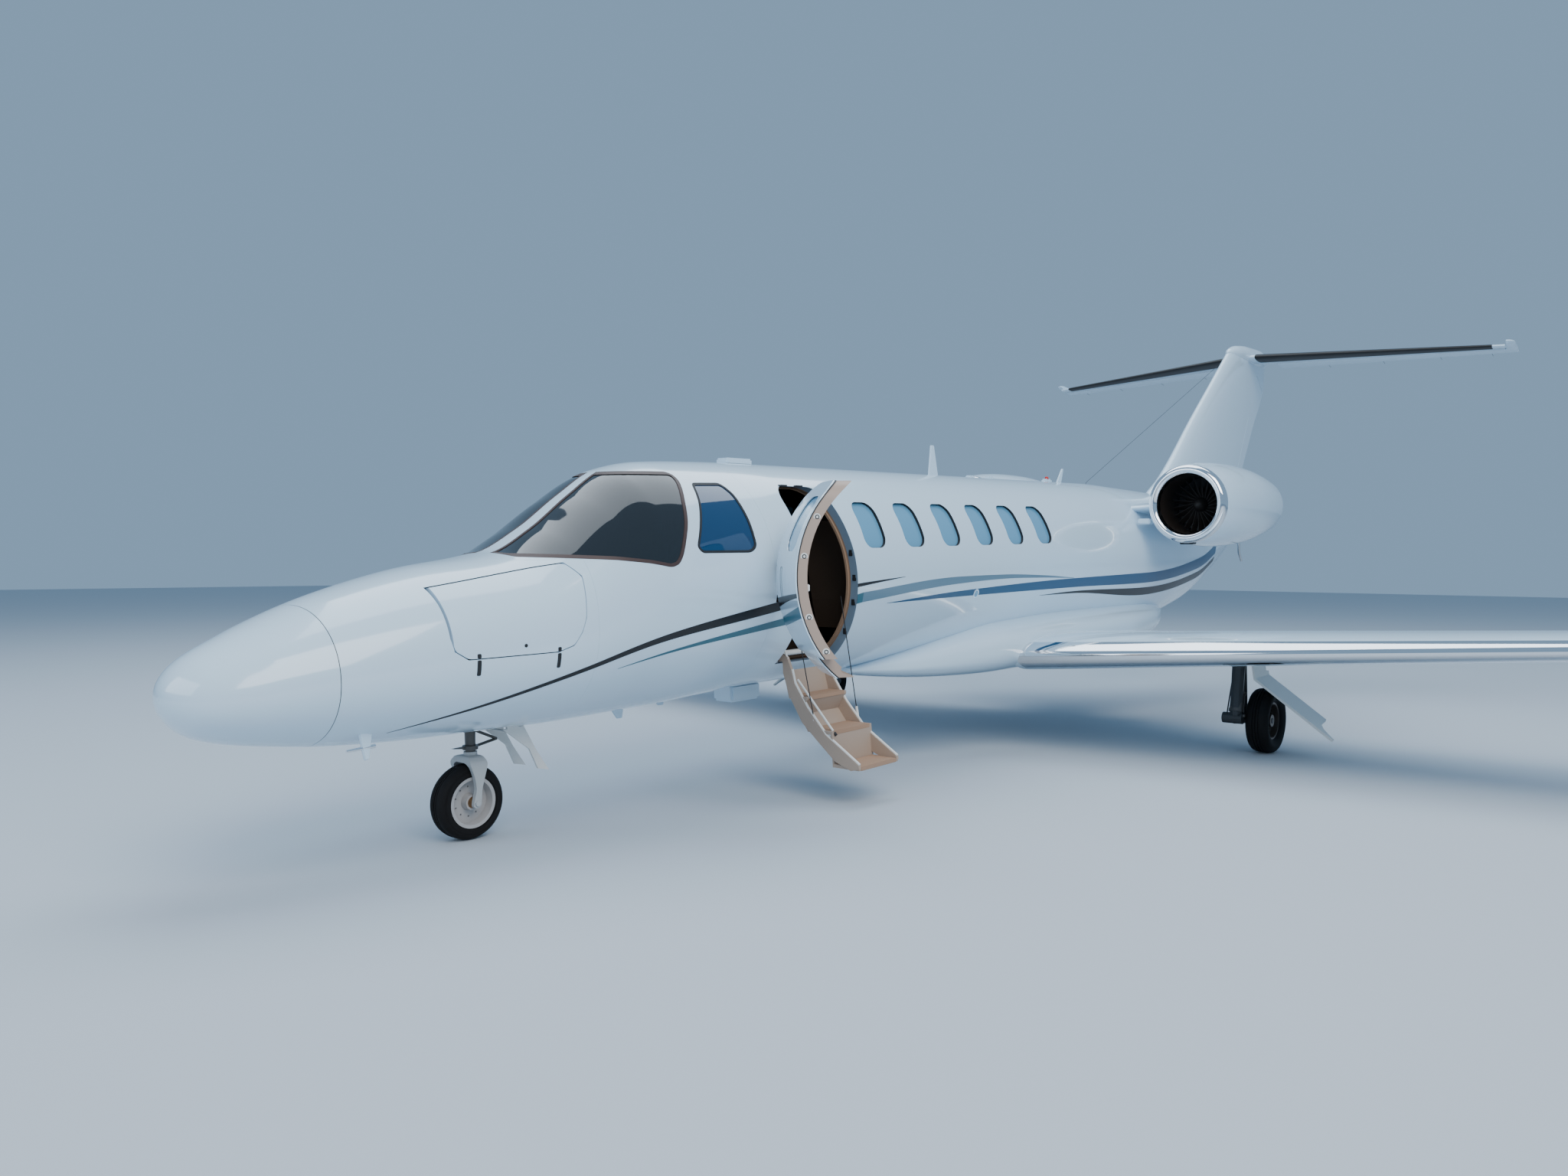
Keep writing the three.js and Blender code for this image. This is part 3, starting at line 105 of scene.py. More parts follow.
# Surfaces: span distance, leading edge, chord, height and thickness at root and tip.
# Controls on them: inner end, outer end and share of the chord.
WING = {
    "root": (0.8, 6.7, 2.33, 0.868, 0.14), "tip": (7.98, 7.44, 0.96, 1.285, 0.115), "cap": 8.13}
WING_EDGE = 0.07
JACK_PAD = (7.8, 2.0, 0.788)
FLAP = (0.98, 5.15, 0.27)
AILERON = (5.2, 7.64, 0.27)
STAB = {
    "root": (-0.003, 14.56, 0.99, 4.392, 0.11), "tip": (3.13, 15.24, 0.49, 4.275, 0.1), "cap": 3.215}
ELEVATOR = (0.3, 3.25, 0.36)
ELEVATOR_HORN = 0.17
BOOT_SPAN = (0.19, 2.95)
BOOT_SHARE = 0.26
ELEVATOR_DROOP = math.radians(12)
# Fin: height, leading edge, trailing edge and half thickness.
FIN_ROWS = [
    (2.28, 11.25, 14.3, 0.15), (2.4, 11.42, 14.38, 0.145), (2.59, 11.76, 14.51, 0.138),
    (3.4, 12.79, 15.074, 0.112), (4.11, 13.709, 15.56, 0.094), (4.4, 14.084, 15.59, 0.086)]
RUDDER_LOW, RUDDER_HIGH = (14.35, 2.7), (15.13, 4.17)
RUN = 0.007

ENGINE_Y, ENGINE_Z, INLET, FAN_STATION = 1.285, 2.212, 9.36, 9.79
INLET_BORE = 0.3

NOSE_WHEEL = {"station": 1.755, "y": 0.0, "radius": 0.222, "half": 0.073, "rim": 0.146, "bead": 0.92}
MAIN_WHEEL = {"station": 8.215, "y": 2.465, "radius": 0.28, "half": 0.097, "rim": 0.16, "bead": 0.62}

# The gap between pieces that touch, and the angle from which an edge shows.
HAIR = 0.0004
SHARP = math.radians(35)
SIDES = (("right", 1), ("left", -1))

LEVEL = Matrix.Translation((TILT_STATION - ORIGIN_STATION, 0, 0)) @ Matrix.Rotation(-NOSE_DOWN, 4, "Y") \
    @ Matrix.Translation((-TILT_STATION, 0, 0))


# Camera and light.
def camera():
    eye = Vector((-2.125 - ORIGIN_STATION, -5.829, 1.653))
    yaw, pitch, roll = (math.radians(v) for v in (40.93, -1.367, 0.33))
    ahead = Vector((math.cos(yaw) * math.cos(pitch), math.sin(yaw) * math.cos(pitch), math.sin(pitch)))
    right = ahead.cross(Vector((0, 0, 1))).normalized()
    up = right.cross(ahead)
    right2 = right * math.cos(roll) + up * math.sin(roll)
    up2 = up * math.cos(roll) - right * math.sin(roll)
    data = bpy.data.cameras.new("camera")
    data.sensor_width = 36
    data.lens = 26.314
    data.clip_end = 500
    obj = bpy.data.objects.new("camera", data)
    turn = Matrix((right2, up2, -ahead)).transposed().to_4x4()
    obj.matrix_world = Matrix.Translation(eye) @ turn
    bpy.context.scene.collection.objects.link(obj)
    bpy.context.scene.camera = obj


def area_light(name, place, aim, size, power, colour):
    data = bpy.data.lights.new(name, "AREA")
    data.shape = "RECTANGLE"
    data.size, data.size_y = size
    data.energy = power
    data.color = colour
    obj = bpy.data.objects.new(name, data)
    direction = Vector(aim) - Vector(place)
    obj.matrix_world = Matrix.Translation(place) @ direction.to_track_quat("-Z", "Y").to_matrix().to_4x4()
    bpy.context.scene.collection.objects.link(obj)


def lights():
    world = bpy.data.worlds.new("studio")
    bpy.context.scene.world = world
    world.use_nodes = True
    back = world.node_tree.nodes["Background"]
    back.inputs["Color"].default_value = (0.42, 0.66, 0.95, 1)
    back.inputs["Strength"].default_value = 0.55
    area_light("key", (-11, -15, 16), (0, 0, 1.5), (16, 16), 4200, (1, 0.98, 0.95))
    area_light("top", (3, 4, 18), (1, 0, 1), (20, 16), 3000, (0.85, 0.93, 1))
    area_light("fill", (-17, 5, 6), (-3, 0, 1.5), (10, 6), 500, (0.8, 0.9, 1))


# Materials.
def material(name, colour, rough=0.5, metal=0.0, coat=0.0, **more):
    mat = bpy.data.materials.new(name)
    mat.use_nodes = True
    shader = mat.node_tree.nodes["Principled BSDF"]
    shader.inputs["Base Color"].default_value = (*colour, 1)
    shader.inputs["Roughness"].default_value = rough
    shader.inputs["Metallic"].default_value = metal
    shader.inputs["Coat Weight"].default_value = coat
    for key, value in more.items():
        shader.inputs[key.replace("_", " ")].default_value = value
    mat.diffuse_color = (*colour, 1)
    return mat


# White paint; its blue tint is painted sky light on the airframe.
PAINT = material("white_paint_painted_sky_light", (0.62, 0.78, 0.9), 0.16, coat=0.6, Coat_Roughness=0.03)
WHITE = material("white_enamel", (0.74, 0.73, 0.7), 0.35)
BLACK_PAINT = material("black_stripe", (0.004, 0.004, 0.006), 0.35)
BLUE_PAINT = material("blue_stripe", (0.006, 0.075, 0.17), 0.3)
TEAL_PAINT = material("teal_stripe", (0.03, 0.13, 0.18), 0.3)
GREY_PAINT = material("grey_stripe", (0.12, 0.22, 0.3), 0.3)
CHROME = material("polished_metal", (0.86, 0.87, 0.89), 0.07, 1.0)
STEEL = material("satin_steel", (0.55, 0.56, 0.58), 0.3, 1.0)
LEG_STEEL = material("leg_steel", (0.09, 0.085, 0.08), 0.35, 0.6)
BRASS = material("brass_hub", (0.3, 0.17, 0.08), 0.35, 0.8)
LIGHT_GREY = material("light_grey_paint", (0.46, 0.47, 0.47), 0.4)
RIM_GREY = material("rim_grey", (0.44, 0.42, 0.41), 0.4)
DARK_RIM = material("dark_rim", (0.1, 0.085, 0.075), 0.35, 0.6)
GEAR_METAL = material("dark_gear", (0.05, 0.052, 0.055), 0.45, 0.5)
RUBBER = material("tyre_rubber", (0.005, 0.004, 0.004), 0.8, Specular_IOR_Level=0.3)
BOOT = material("rubber_boot", (0.004, 0.004, 0.005), 0.5)
# Dark seal. On the window openings' cut walls it is partly the real seal and partly painted shade in the
# recess.
SEAL = material("dark_seal", (0.012, 0.013, 0.016), 0.6)
FRAME_SEAL = material("brown_seal", (0.055, 0.03, 0.026), 0.5)
GLASS = material("tinted_glass", (0.035, 0.045, 0.055), 0.03, coat=0.3, Transmission_Weight=0.6, IOR=1.45)
PANE = material("pane_glass", (0.004, 0.04, 0.11), 0.04, coat=0.6)
SHADE = material("window_shade", (0.13, 0.34, 0.52), 0.1, coat=0.6)
TAN = material("stair_tan", (0.42, 0.32, 0.25), 0.6)
TREAD = material("tread_tan", (0.38, 0.24, 0.16), 0.85)
DOOR_RIM = material("door_rim", (0.4, 0.3, 0.24), 0.45)
JAMB = material("door_jamb", (0.26, 0.36, 0.47), 0.3, 0.3)
# Interior lining, darkened to near black as painted shade inside the fuselage.
LINING_IN_PAINTED_SHADE = material("lining_in_painted_shade", (0.016, 0.008, 0.006), 0.7)
TRIM = material("tan_trim", (0.32, 0.21, 0.14), 0.4)
LEATHER = material("tan_leather", (0.1, 0.07, 0.05), 0.5)
DARK = material("dark_plastic", (0.01, 0.011, 0.013), 0.55)
CARPET = material("carpet", (0.05, 0.034, 0.024), 0.95)
# Fan and inlet duct near black, painted shade deep inside the inlet.
FAN = material("fan_metal", (0.02, 0.017, 0.016), 0.6, 0.3)
DUCT_PAINTED_SHADE = material("duct_painted_shade", (0.012, 0.008, 0.006), 0.5)
FLOOR = material("studio_floor", (0.5, 0.55, 0.6), 0.75)
RED = material("red_lens", (0.55, 0.02, 0.015), 0.15)
GREEN = material("green_lens", (0.01, 0.35, 0.1), 0.15)


# Mesh helpers. Points are in the level airframe's metres unless a function says otherwise.
@contextmanager
def edited(obj):
    """Opens an object's mesh for changes."""
    work = bmesh.new()
    work.from_mesh(obj.data)
    yield work
    work.to_mesh(obj.data)
    work.free()


def raw(points, faces, mat):
    mesh = bpy.data.meshes.new("part")
    mesh.from_pydata([tuple(p) for p in points], [], faces)
    mesh.validate()
    mesh.materials.append(mat)
    obj = bpy.data.objects.new("part", mesh)
    bpy.context.scene.collection.objects.link(obj)
    return obj


def grid(rings, mat, loop=False):
    """A skin through rings of points, with flat ends or, as a loop, back to its first ring."""
    rings = [np.asarray(r, float) for r in rings]
    n, count = len(rings[0]), len(rings)
    faces = [(r * n + i, r * n + (i + 1) % n, (r + 1) % count * n + (i + 1) % n, (r + 1) % count * n + i)
             for r in range(count if loop else count - 1) for i in range(n)]
    if not loop:
        faces += [tuple(range(n))[::-1], tuple(range((count - 1) * n, count * n))]
    obj = raw(np.concatenate(rings), faces, mat)
    with edited(obj) as work:
        bmesh.ops.recalc_face_normals(work, faces=work.faces)
    return obj


def prism(outline, axis, low, high, mat=SEAL):
    """An outline carried along an axis: y from (s, z), z from (s, y), x from (y, z)."""
    place = "xyz".index(axis)
    return grid([[(*p[:place], h, *p[place:]) for p in outline] for h in (low, high)], mat)


def across(outline, low=0.2, high=0.95, mat=SEAL):
    """A cutter through the side of the fuselage, from an outline of station and height."""
    return prism(outline, "y", low, high, mat)


def box(s, y, z, mat=SEAL, bevel=0.0):
    obj = across([(s[0], z[0]), (s[1], z[0]), (s[1], z[1]), (s[0], z[1])], *y, mat)
    return bevelled(obj, bevel) if bevel else obj


def bevelled(obj, width, segments=2):
    with edited(obj) as work:
        sharp = [e for e in work.edges if len(e.link_faces) == 2 and e.calc_face_angle(0) > 0.5]
        bmesh.ops.bevel(work, geom=sharp, offset=width, segments=segments, affect="EDGES", clamp_overlap=True)
    return obj


def circle(centre, radius, side, other, sides):
    turns = (2 * math.pi * k / sides for k in range(sides))
    return [centre + (side * math.cos(t) + other * math.sin(t)) * radius for t in turns]


def bar(start, end, r0, mat=SEAL, r1=None, sides=20):
    a, b = Vector(start), Vector(end)
    side = (b - a).orthogonal().normalized()
    other = (b - a).normalized().cross(side)
    return grid([circle(c, r, side, other, sides) for c, r in ((a, r0), (b, r1 or r0))], mat)


def tube_along(points, radius, mat, sides=10):
    points = [Vector(p) for p in points]
    rings = []
    for i, p in enumerate(points):
        ahead = (points[min(i + 1, len(points) - 1)] - points[max(i - 1, 0)]).normalized()
        side = ahead.cross(Vector((0.1, 0.97, 0.2))).normalized()
        rings.append(circle(p, radius, side, ahead.cross(side), sides))
    return grid(rings, mat)


def lathe(profile, mat, centre, axis, sides=64):
    """A profile of radius and distance along the axis, turned about it. It ends on the axis or closes."""
    centre, axis = Vector(centre), Vector(axis).normalized()
    side = Vector((0, 0, 1)) if abs(axis.z) < 0.9 else Vector((1, 0, 0))
    side = (side - axis * side.dot(axis)).normalized()
    closed = profile[0] == profile[-1]
    rows = profile[:-1] if closed else profile
    obj = grid([circle(centre + axis * h, r, side, axis.cross(side), sides) for r, h in rows], mat, closed)
    with edited(obj) as work:
        bmesh.ops.remove_doubles(work, verts=work.verts, dist=1e-6)
        bmesh.ops.recalc_face_normals(work, faces=work.faces)
    return obj


def boolean(obj, tool, operation="DIFFERENCE", colour_cut=False):
    """Cuts obj by a tool, or keeps what it shares with one. The cut can take the tool's colour."""
    mod = obj.modifiers.new("cut", "BOOLEAN")
    mod.operation = operation
    mod.object = tool
    mod.solver = "EXACT"
    mod.material_mode = "TRANSFER" if colour_cut else "INDEX"
    bpy.context.view_layer.update()
    mesh = bpy.data.meshes.new_from_object(obj.evaluated_get(bpy.context.evaluated_depsgraph_get()))
    obj.modifiers.clear()
    old = obj.data
    obj.data = mesh
    bpy.data.meshes.remove(old)
    drop(tool)
    return obj


def common(obj, tool):
    return boolean(obj, tool, "INTERSECT")


def drop(*objs):
    for obj in objs:
        mesh = obj.data
        bpy.data.objects.remove(obj)
        bpy.data.meshes.remove(mesh)


def copy(obj):
    twin = obj.copy()
    twin.data = obj.data.copy()
    bpy.context.scene.collection.objects.link(twin)
    return twin


def turn(obj, centre, angle, axis):
    swing = Matrix.Rotation(angle, 4, axis)
    obj.data.transform(Matrix.Translation(centre) @ swing @ Matrix.Translation(-centre))


def turned_over(obj):
    """Moves a piece to the other side of the airframe, as in a mirror."""
    obj.data.transform(Matrix.Scale(-1, 4, (0, 1, 0)))
    obj.data.flip_normals()
    return obj


def mirrored(obj):
    return turned_over(copy(obj))


def join(objs):
    whole = objs[0]
    work = bmesh.new()
    mats = []
    for obj in objs:
        start = len(work.faces)
        slots = []
        for mat in obj.data.materials:
            if mat not in mats:
                mats.append(mat)
            slots.append(mats.index(mat))
        work.from_mesh(obj.data)
        work.faces.ensure_lookup_table()
        for face in work.faces[start:]:
            face.material_index = slots[min(face.material_index, len(slots) - 1)]
    work.to_mesh(whole.data)
    work.free()
    whole.data.materials.clear()
    for mat in mats:
        whole.data.materials.append(mat)
    drop(*objs[1:])
    return whole


def inward(outline, gap):
    """An outline moved in by a gap, or out by a negative one."""
    n = len(outline)
    area = sum(outline[i - 1][0] * outline[i][1] - outline[i][0] * outline[i - 1][1] for i in range(n))
    side = gap if area > 0 else -gap
    edges = []
    for i, (x, y) in enumerate(outline):
        u, v = outline[(i + 1) % n]
        long = math.hypot(u - x, v - y)
        dx, dy = (u - x) / long, (v - y) / long
        edges.append((x - dy * side, y + dx * side, dx, dy))
    moved = []
    for i, (ax, ay, adx, ady) in enumerate(edges):
        bx, by, bdx, bdy = edges[i - 1]
        cross = bdx * ady - bdy * adx
        t = ((ax - bx) * ady - (ay - by) * adx) / cross if abs(cross) > 1e-9 else 0
        moved.append((bx + bdx * t, by + bdy * t) if abs(cross) > 1e-9 else (ax, ay))
    return moved


def arcs(outline, radius, steps=5):
    """An outline with its corners rounded."""
    n = len(outline)
    result = []
    for i in range(n):
        p, q, r = (Vector(outline[k % n]) for k in (i - 1, i, i + 1))
        a, b = (p - q), (r - q)
        reach = min(radius, a.length * 0.45, b.length * 0.45)
        start, end = q + a.normalized() * reach, q + b.normalized() * reach
        for k in range(steps + 1):
            t = k / steps
            result.append(tuple(start * (1 - t) ** 2 + q * 2 * t * (1 - t) + end * t * t))
    return result


def rounded_box(x0, x1, z0, z1, radius, steps=6):
    points = []
    for cx, cz, begin in ((x1 - radius, z1 - radius, 0), (x0 + radius, z1 - radius, 90),
                          (x0 + radius, z0 + radius, 180), (x1 - radius, z0 + radius, 270)):
        for k in range(steps + 1):
            t = math.radians(begin + 90 * k / steps)
            points.append((cx + radius * math.cos(t), cz + radius * math.sin(t)))
    return points


# The fuselage's skin.
def between(rows, column, station):
    """A column's value at a station, on a smooth curve through the rows that never overshoots them."""
    u = np.sqrt(rows[:, 0] - NOSE_TIP)
    v = rows[:, column]
    slope = np.diff(v) / np.diff(u)
    tangent = np.zeros(len(u))
    tangent[0], tangent[-1] = slope[0], slope[-1]
    for i in range(1, len(u) - 1):
        a, b = slope[i - 1], slope[i]
        tangent[i] = 0 if a * b <= 0 else 2 * a * b / (a + b)
    at = math.sqrt(min(max(station, rows[0, 0]), rows[-1, 0]) - NOSE_TIP)
    i = min(int(np.searchsorted(u, at, "right")) - 1, len(u) - 2)
    h = u[i + 1] - u[i]
    t = (at - u[i]) / h
    return (v[i] * (1 + 2 * t) * (1 - t) ** 2 + tangent[i] * h * t * (1 - t) ** 2
            + v[i + 1] * t * t * (3 - 2 * t) + tangent[i + 1] * h * t * t * (t - 1))


def section(station):
    """The skin's middle height, rise, half width and fullness at a station."""
    top, bottom, half, full = (between(SECTIONS, c, station) for c in (1, 2, 3, 4))
    return (top + bottom) / 2, (top - bottom) / 2, half, full


def oval(station, middle, half, rise, upper=1.0, lower=1.0, count=RING):
    """A ring at a station. Each half has a power, 1 for an ellipse and less for a fuller shape."""
    t = 2 * np.pi * np.arange(count) / count
    c, s = np.cos(t), np.sin(t)
    power = np.where(s > 0, upper, lower)
    y = half * np.sign(c) * np.abs(c) ** power
    z = middle + rise * np.sign(s) * np.abs(s) ** power
    return np.stack([np.full(count, station), y, z], 1)


def ring_at(station, inset=0.0):
    middle, rise, half, full = section(station)
    return oval(station, middle, half - inset, rise - inset, 2 / full)


def stations(low, high):
    """Where the rings of a stretch of skin lie, closer together where it curves."""
    rows = [low]
    for start, end, step in ((0.07, 0.1, 0.003), (0.1, 0.3, 0.015), (0.3, 1.0, 0.05), (1.0, 1.8, 0.08),
                             (1.8, 4.0, 0.05), (4.0, 9.3, 0.35), (9.3, 14.85, 0.15)):
        s = start
        while s < end:
            if low + step * 0.4 < s < high - step * 0.4:
                rows.append(s)
            s += step
    return rows + [high]


def skin_side(station, height, inset=0.0):
    """How far out the skin is at a station and height."""
    middle, rise, half, full = section(station)
    share = min(1, abs(height - middle) / (rise - inset))
    power = full if height > middle else 2
    return (half - inset) * (1 - share ** power) ** (1 / power)


def skin_normal(point):
    """The skin's own direction at a point on or near it."""
    def field(s, y, z):
        middle, rise, half, full = section(s)
        power = full if z > middle else 2
        return (abs(y) / half) ** power + (abs(z - middle) / rise) ** power

    at = np.array(point)
    return Vector([field(*(at + d)) - field(*(at - d)) for d in np.eye(3) * 1e-3]).normalized()


def hull(low, high, mat=SEAL, inset=0.0):
    return grid([ring_at(s, inset) for s in stations(low, high)], mat)


def shell(low, high, mat, outer=0.0, inner=WALL):
    """A tube of skin between two insets, with flat ends."""
    rows = stations(low, high)
    return grid([ring_at(s, outer) for s in rows] + [ring_at(s, inner) for s in rows[::-1]], mat, True)


def skin_shading(obj):
    """Smooth shading that follows the true skin where the mesh lies on it, and flat elsewhere."""
    mesh = obj.data
    normals = [None] * len(mesh.vertices)
    mesh.polygons.foreach_set("use_smooth", [True] * len(mesh.polygons))
    loops = [None] * len(mesh.loops)
    for face in mesh.polygons:
        for li in face.loop_indices:
            vi = mesh.loops[li].vertex_index
            if normals[vi] is None:
                normals[vi] = skin_normal(mesh.vertices[vi].co)
            near = normals[vi].dot(face.normal)
            loops[li] = normals[vi] * math.copysign(1, near) if abs(near) > 0.93 else face.normal.copy()
    mesh.normals_split_custom_set([tuple(v) for v in loops])


def smooth(obj):
    with edited(obj) as work:
        for face in work.faces:
            face.smooth = True
        for edge in work.edges:
            edge.smooth = not (len(edge.link_faces) == 2 and edge.calc_face_angle(0) > SHARP)


def finish(obj, name, replaced=(), body="airframe", shading=smooth):
    """Names a piece, shades it, tilts it onto its wheels and hangs it on its body."""
    obj.name = name
    obj.data.name = name
    if shading:
        shading(obj)
    obj.data.transform(LEVEL)
    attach(obj, body)
    if replaced:
        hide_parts(*replaced)


def finish_skin(obj, name, replaced=(), body="airframe"):
    finish(obj, name, replaced, body, skin_shading)


def on_side(obj, k):
    """A starboard piece, moved to port for k below zero."""
    return obj if k > 0 else turned_over(obj)


def decal(mat, tool, low, high, outer=-0.001, inner=0.0006):
    """A thin patch of the starboard skin inside a tool's outline."""
    return common(shell(low, high, mat, outer, inner), tool)


def ring_between(outline, width):
    """The region between an outline and the same outline moved in."""
    return boolean(across(outline, 0.04), across(inward(outline, width), 0.03, 0.96))


# Openings in the fuselage.
def corner_round(z):
    over = max(0, z - (DOOR_HIGH - DOOR_CORNER))
    return DOOR_CORNER - math.sqrt(max(0, DOOR_CORNER ** 2 - over ** 2))


def door_aft(z):
    heights, edges = zip(*DOOR_AFT_EDGE)
    return float(np.interp(z, heights, edges)) - corner_round(z)


def door_outline():
    levels = sorted({DOOR_LOW, 1.2, 1.38, 1.5, 1.6, 1.72, 1.83, 2.0}
                    | {DOOR_HIGH - DOOR_CORNER * (1 - math.sin(math.radians(15 * k))) for k in range(7)})
    front = [(DOOR_FRONT + corner_round(z), z) for z in reversed(levels) if z == DOOR_LOW or z > 2.1]
    return [(door_aft(z), z) for z in levels] + front


def door_tool(mat=SEAL, shrink=0.0):
    outline = door_outline()
    return across(inward(outline, shrink) if shrink else outline, -0.95, -0.25, mat)


def window_front(number):
    return CABIN_WINDOW["first"] + number * CABIN_WINDOW["pitch"]


def cabin_window(number, grow=0.0):
    w, front = CABIN_WINDOW, window_front(number)
    return rounded_box(front - grow, front + w["width"] + grow, w["low"] - grow, w["high"] + grow,
                       w["corner"] + grow)


def windshield_tool(gap):
    outline = arcs(WINDSHIELD_SIDE, 0.03)
    side = across(inward(outline, gap) if gap else outline, POST_HALF_TOP + gap, 0.9)
    post = [(1.7, -0.02), (3.3, -0.02), (3.3, POST_HALF_TOP + gap), (2.76, POST_HALF_TOP + gap),
            (1.7, POST_HALF_BASE + gap)]
    return boolean(side, prism(post, "z", 1.7, 2.6))


def build_nose():
    finish_skin(hull(NOSE_TIP + HAIR, RADOME_END - 0.002, PAINT), "radome_skin", ["radome"])
    nose = hull(RADOME_END + 0.002, NOSE_END - HAIR, PAINT)
    cutters = [box((COWL_STATION, NOSE_END + 0.1), (-0.9, 0.9), (COWL_HEIGHT, 2.5)),
               box((1.61, 2.15), (-0.13, 0.13), (0.7, 1.09))]
    for k in (-1, 1):
        room = box((1.2, 2.3), sorted((k * 0.04, k * 0.9)), (1.215, 1.69))
        cutters.append(common(hull(1.235, 2.16, SEAL, 0.045), room))
    cutters += [across(BAY_DOOR, 0.24, 0.8), across(BAY_DOOR, -0.8, -0.24)]
    for cutter in cutters:
        boolean(nose, cutter)
    finish_skin(nose, "nose_skin", ["nose_section"])
    ring = shell(RADOME_END - 0.003, RADOME_END + 0.003, SEAL, 0.0015, 0.02)
    finish(ring, "radome_joint", shading=None)


def build_baggage_doors():
    tool = across(inward(arcs(BAY_DOOR, 0.02, 3), 0.0055), 0.244, 0.8)
    door = common(shell(1.3, 2.19, PAINT, 0.0, 0.04), tool)
    for side, piece in (("left", mirrored(door)), ("right", door)):
        body = "baggage_door_" + side
        finish_skin(piece, "baggage_door_skin_" + side, [body], body)


def build_cockpit():
    cockpit = hull(COWL_STATION + HAIR, COCKPIT_END - HAIR, PAINT)
    # The cockpit's inner faces take the lining's near black, painted shade.
    boolean(cockpit, hull(NOSE_END + 0.04, COCKPIT_END + 0.04, LINING_IN_PAINTED_SHADE, WALL), colour_cut=True)
    boolean(cockpit, box((1.0, NOSE_END + HAIR), (-0.9, 0.9), (0, COWL_HEIGHT + HAIR)))
    side_window = arcs(COCKPIT_WINDOW, 0.035)
    # The window openings' cut walls take the dark seal colour, partly the real seal and partly painted shade
    # in the recess.
    for tool in (windshield_tool(0), turned_over(windshield_tool(0)), across(side_window),
                 across(side_window, -0.95, -0.2)):
        boolean(cockpit, tool, colour_cut=True)
    finish_skin(cockpit, "cockpit_skin", ["cockpit_shell"])


def build_windows():
    side_window = arcs(COCKPIT_WINDOW, 0.035)
    for side, k in SIDES:
        for name, node, tool, low, high, mat in (
                ("windshield_pane_", "windshield_", windshield_tool(0.001), 1.8, 3.3, GLASS),
                ("cockpit_pane_", "cockpit_window_", across(inward(side_window, 0.001)), 2.9, 3.6, PANE)):
            pane = on_side(decal(mat, tool, low, high, 0.004, 0.016), k)
            finish_skin(pane, name + side, [node + side])
        frame_ring = boolean(windshield_tool(0), windshield_tool(0.022))
        for name, tool, low, high, mat in (
                ("windshield_seal_", frame_ring, 1.8, 3.3, FRAME_SEAL),
                ("cockpit_window_seal_", ring_between(side_window, 0.017), 2.9, 3.6, SEAL)):
            finish_skin(on_side(decal(mat, tool, low, high, -0.0006, 0.006), k), name + side)
        panes = [decal(SHADE, across(cabin_window(n, -0.0005), 0.3), window_front(n) - 0.1,
                       window_front(n) + 0.4, 0.022, WALL + 0.004)
                 for n in (STARBOARD_WINDOWS if k > 0 else PORT_WINDOWS)]
        row = on_side(join(panes), k)
        finish_skin(row, "cabin_panes_" + side, ["cabin_windows_" + side])


def build_cabin():
    cabin = hull(COCKPIT_END + HAIR, CABIN_END - HAIR, PAINT)
    hinge, (arm_low, arm_high) = DOOR_HINGE[0], ARM_HEIGHTS
    # The cabin's inner faces take the lining's near black, painted shade.
    cutters = [hull(COCKPIT_END - 0.05, CABIN_END - BULKHEAD, LINING_IN_PAINTED_SHADE, WALL), door_tool(JAMB)]
    cutters += [box((3.652, DOOR_FRONT + 0.02), (-0.9, -0.65), (z - 0.024, z + 0.024)) for z in ARM_HEIGHTS]
    cutters.append(box((hinge - 0.026, hinge + 0.026), (-0.776, -0.65), (arm_low - 0.04, arm_high + 0.04)))
    # The window openings' cut walls take the dark seal colour, partly the real seal and partly painted shade
    # in the recess.
    cutters += [across(cabin_window(n), 0.3) for n in STARBOARD_WINDOWS]
    cutters += [across(cabin_window(n), -0.95, -0.3) for n in PORT_WINDOWS]
    for cutter in cutters:
        boolean(cabin, cutter, colour_cut=True)
    finish_skin(cabin, "cabin_skin", ["cabin_shell"])
    tail = boolean(hull(CABIN_END, TAIL_END, PAINT), hull(CABIN_END - 0.02, TAIL_HOLLOW, SEAL, WALL))
    finish_skin(tail, "tail_skin", ["tail_cone"])


# Cabin door, made shut and then swung to its rest place.
def finish_on_door(obj, name, shading, replaced=()):
    shading(obj)
    turn(obj, Vector((*DOOR_HINGE, 0)), -DOOR_OPEN, "Z")
    finish(obj, name, replaced, "cabin_door", None)


def door_layer(mat, outer, inner, shrink):
    """One layer of the door between two depths below the skin, its lower corners cut away."""
    layer = common(shell(3.88, 4.66, mat, outer, inner), door_tool(mat, 0.007 + shrink))
    for low, high in ((3.88, FOOT_FRONT), (FOOT_AFT, 4.7)):
        boolean(layer, box((low, high), (-0.9, -0.2), (1.0, FOOT_TOP), mat))
    return boolean(layer, across(cabin_window(-1), -0.95, -0.3, mat))


def door_latches():
    """Rollers on the door's aft edge, and the bracket between them."""
    light, dark = [], []
    for z in (2.05, 1.81, 1.44, 1.23):
        centre = Vector((door_aft(z) - 0.016, -skin_side(4.4, z, 0.046), z))
        for store, radius, reach, mat in ((light, 0.023, 0.0062, WHITE), (dark, 0.014, 0.0072, SEAL),
                                          (light, 0.008, 0.0084, WHITE)):
            store.append(bar(centre, centre + Vector((reach, 0, 0)), radius, mat, sides=24))
    y = -skin_side(4.4, 1.62, 0.056)
    light.append(box((4.474, 4.498), (y - 0.012, y + 0.034), (1.598, 1.64), WHITE, 0.004))
    return join(light), join(dark)


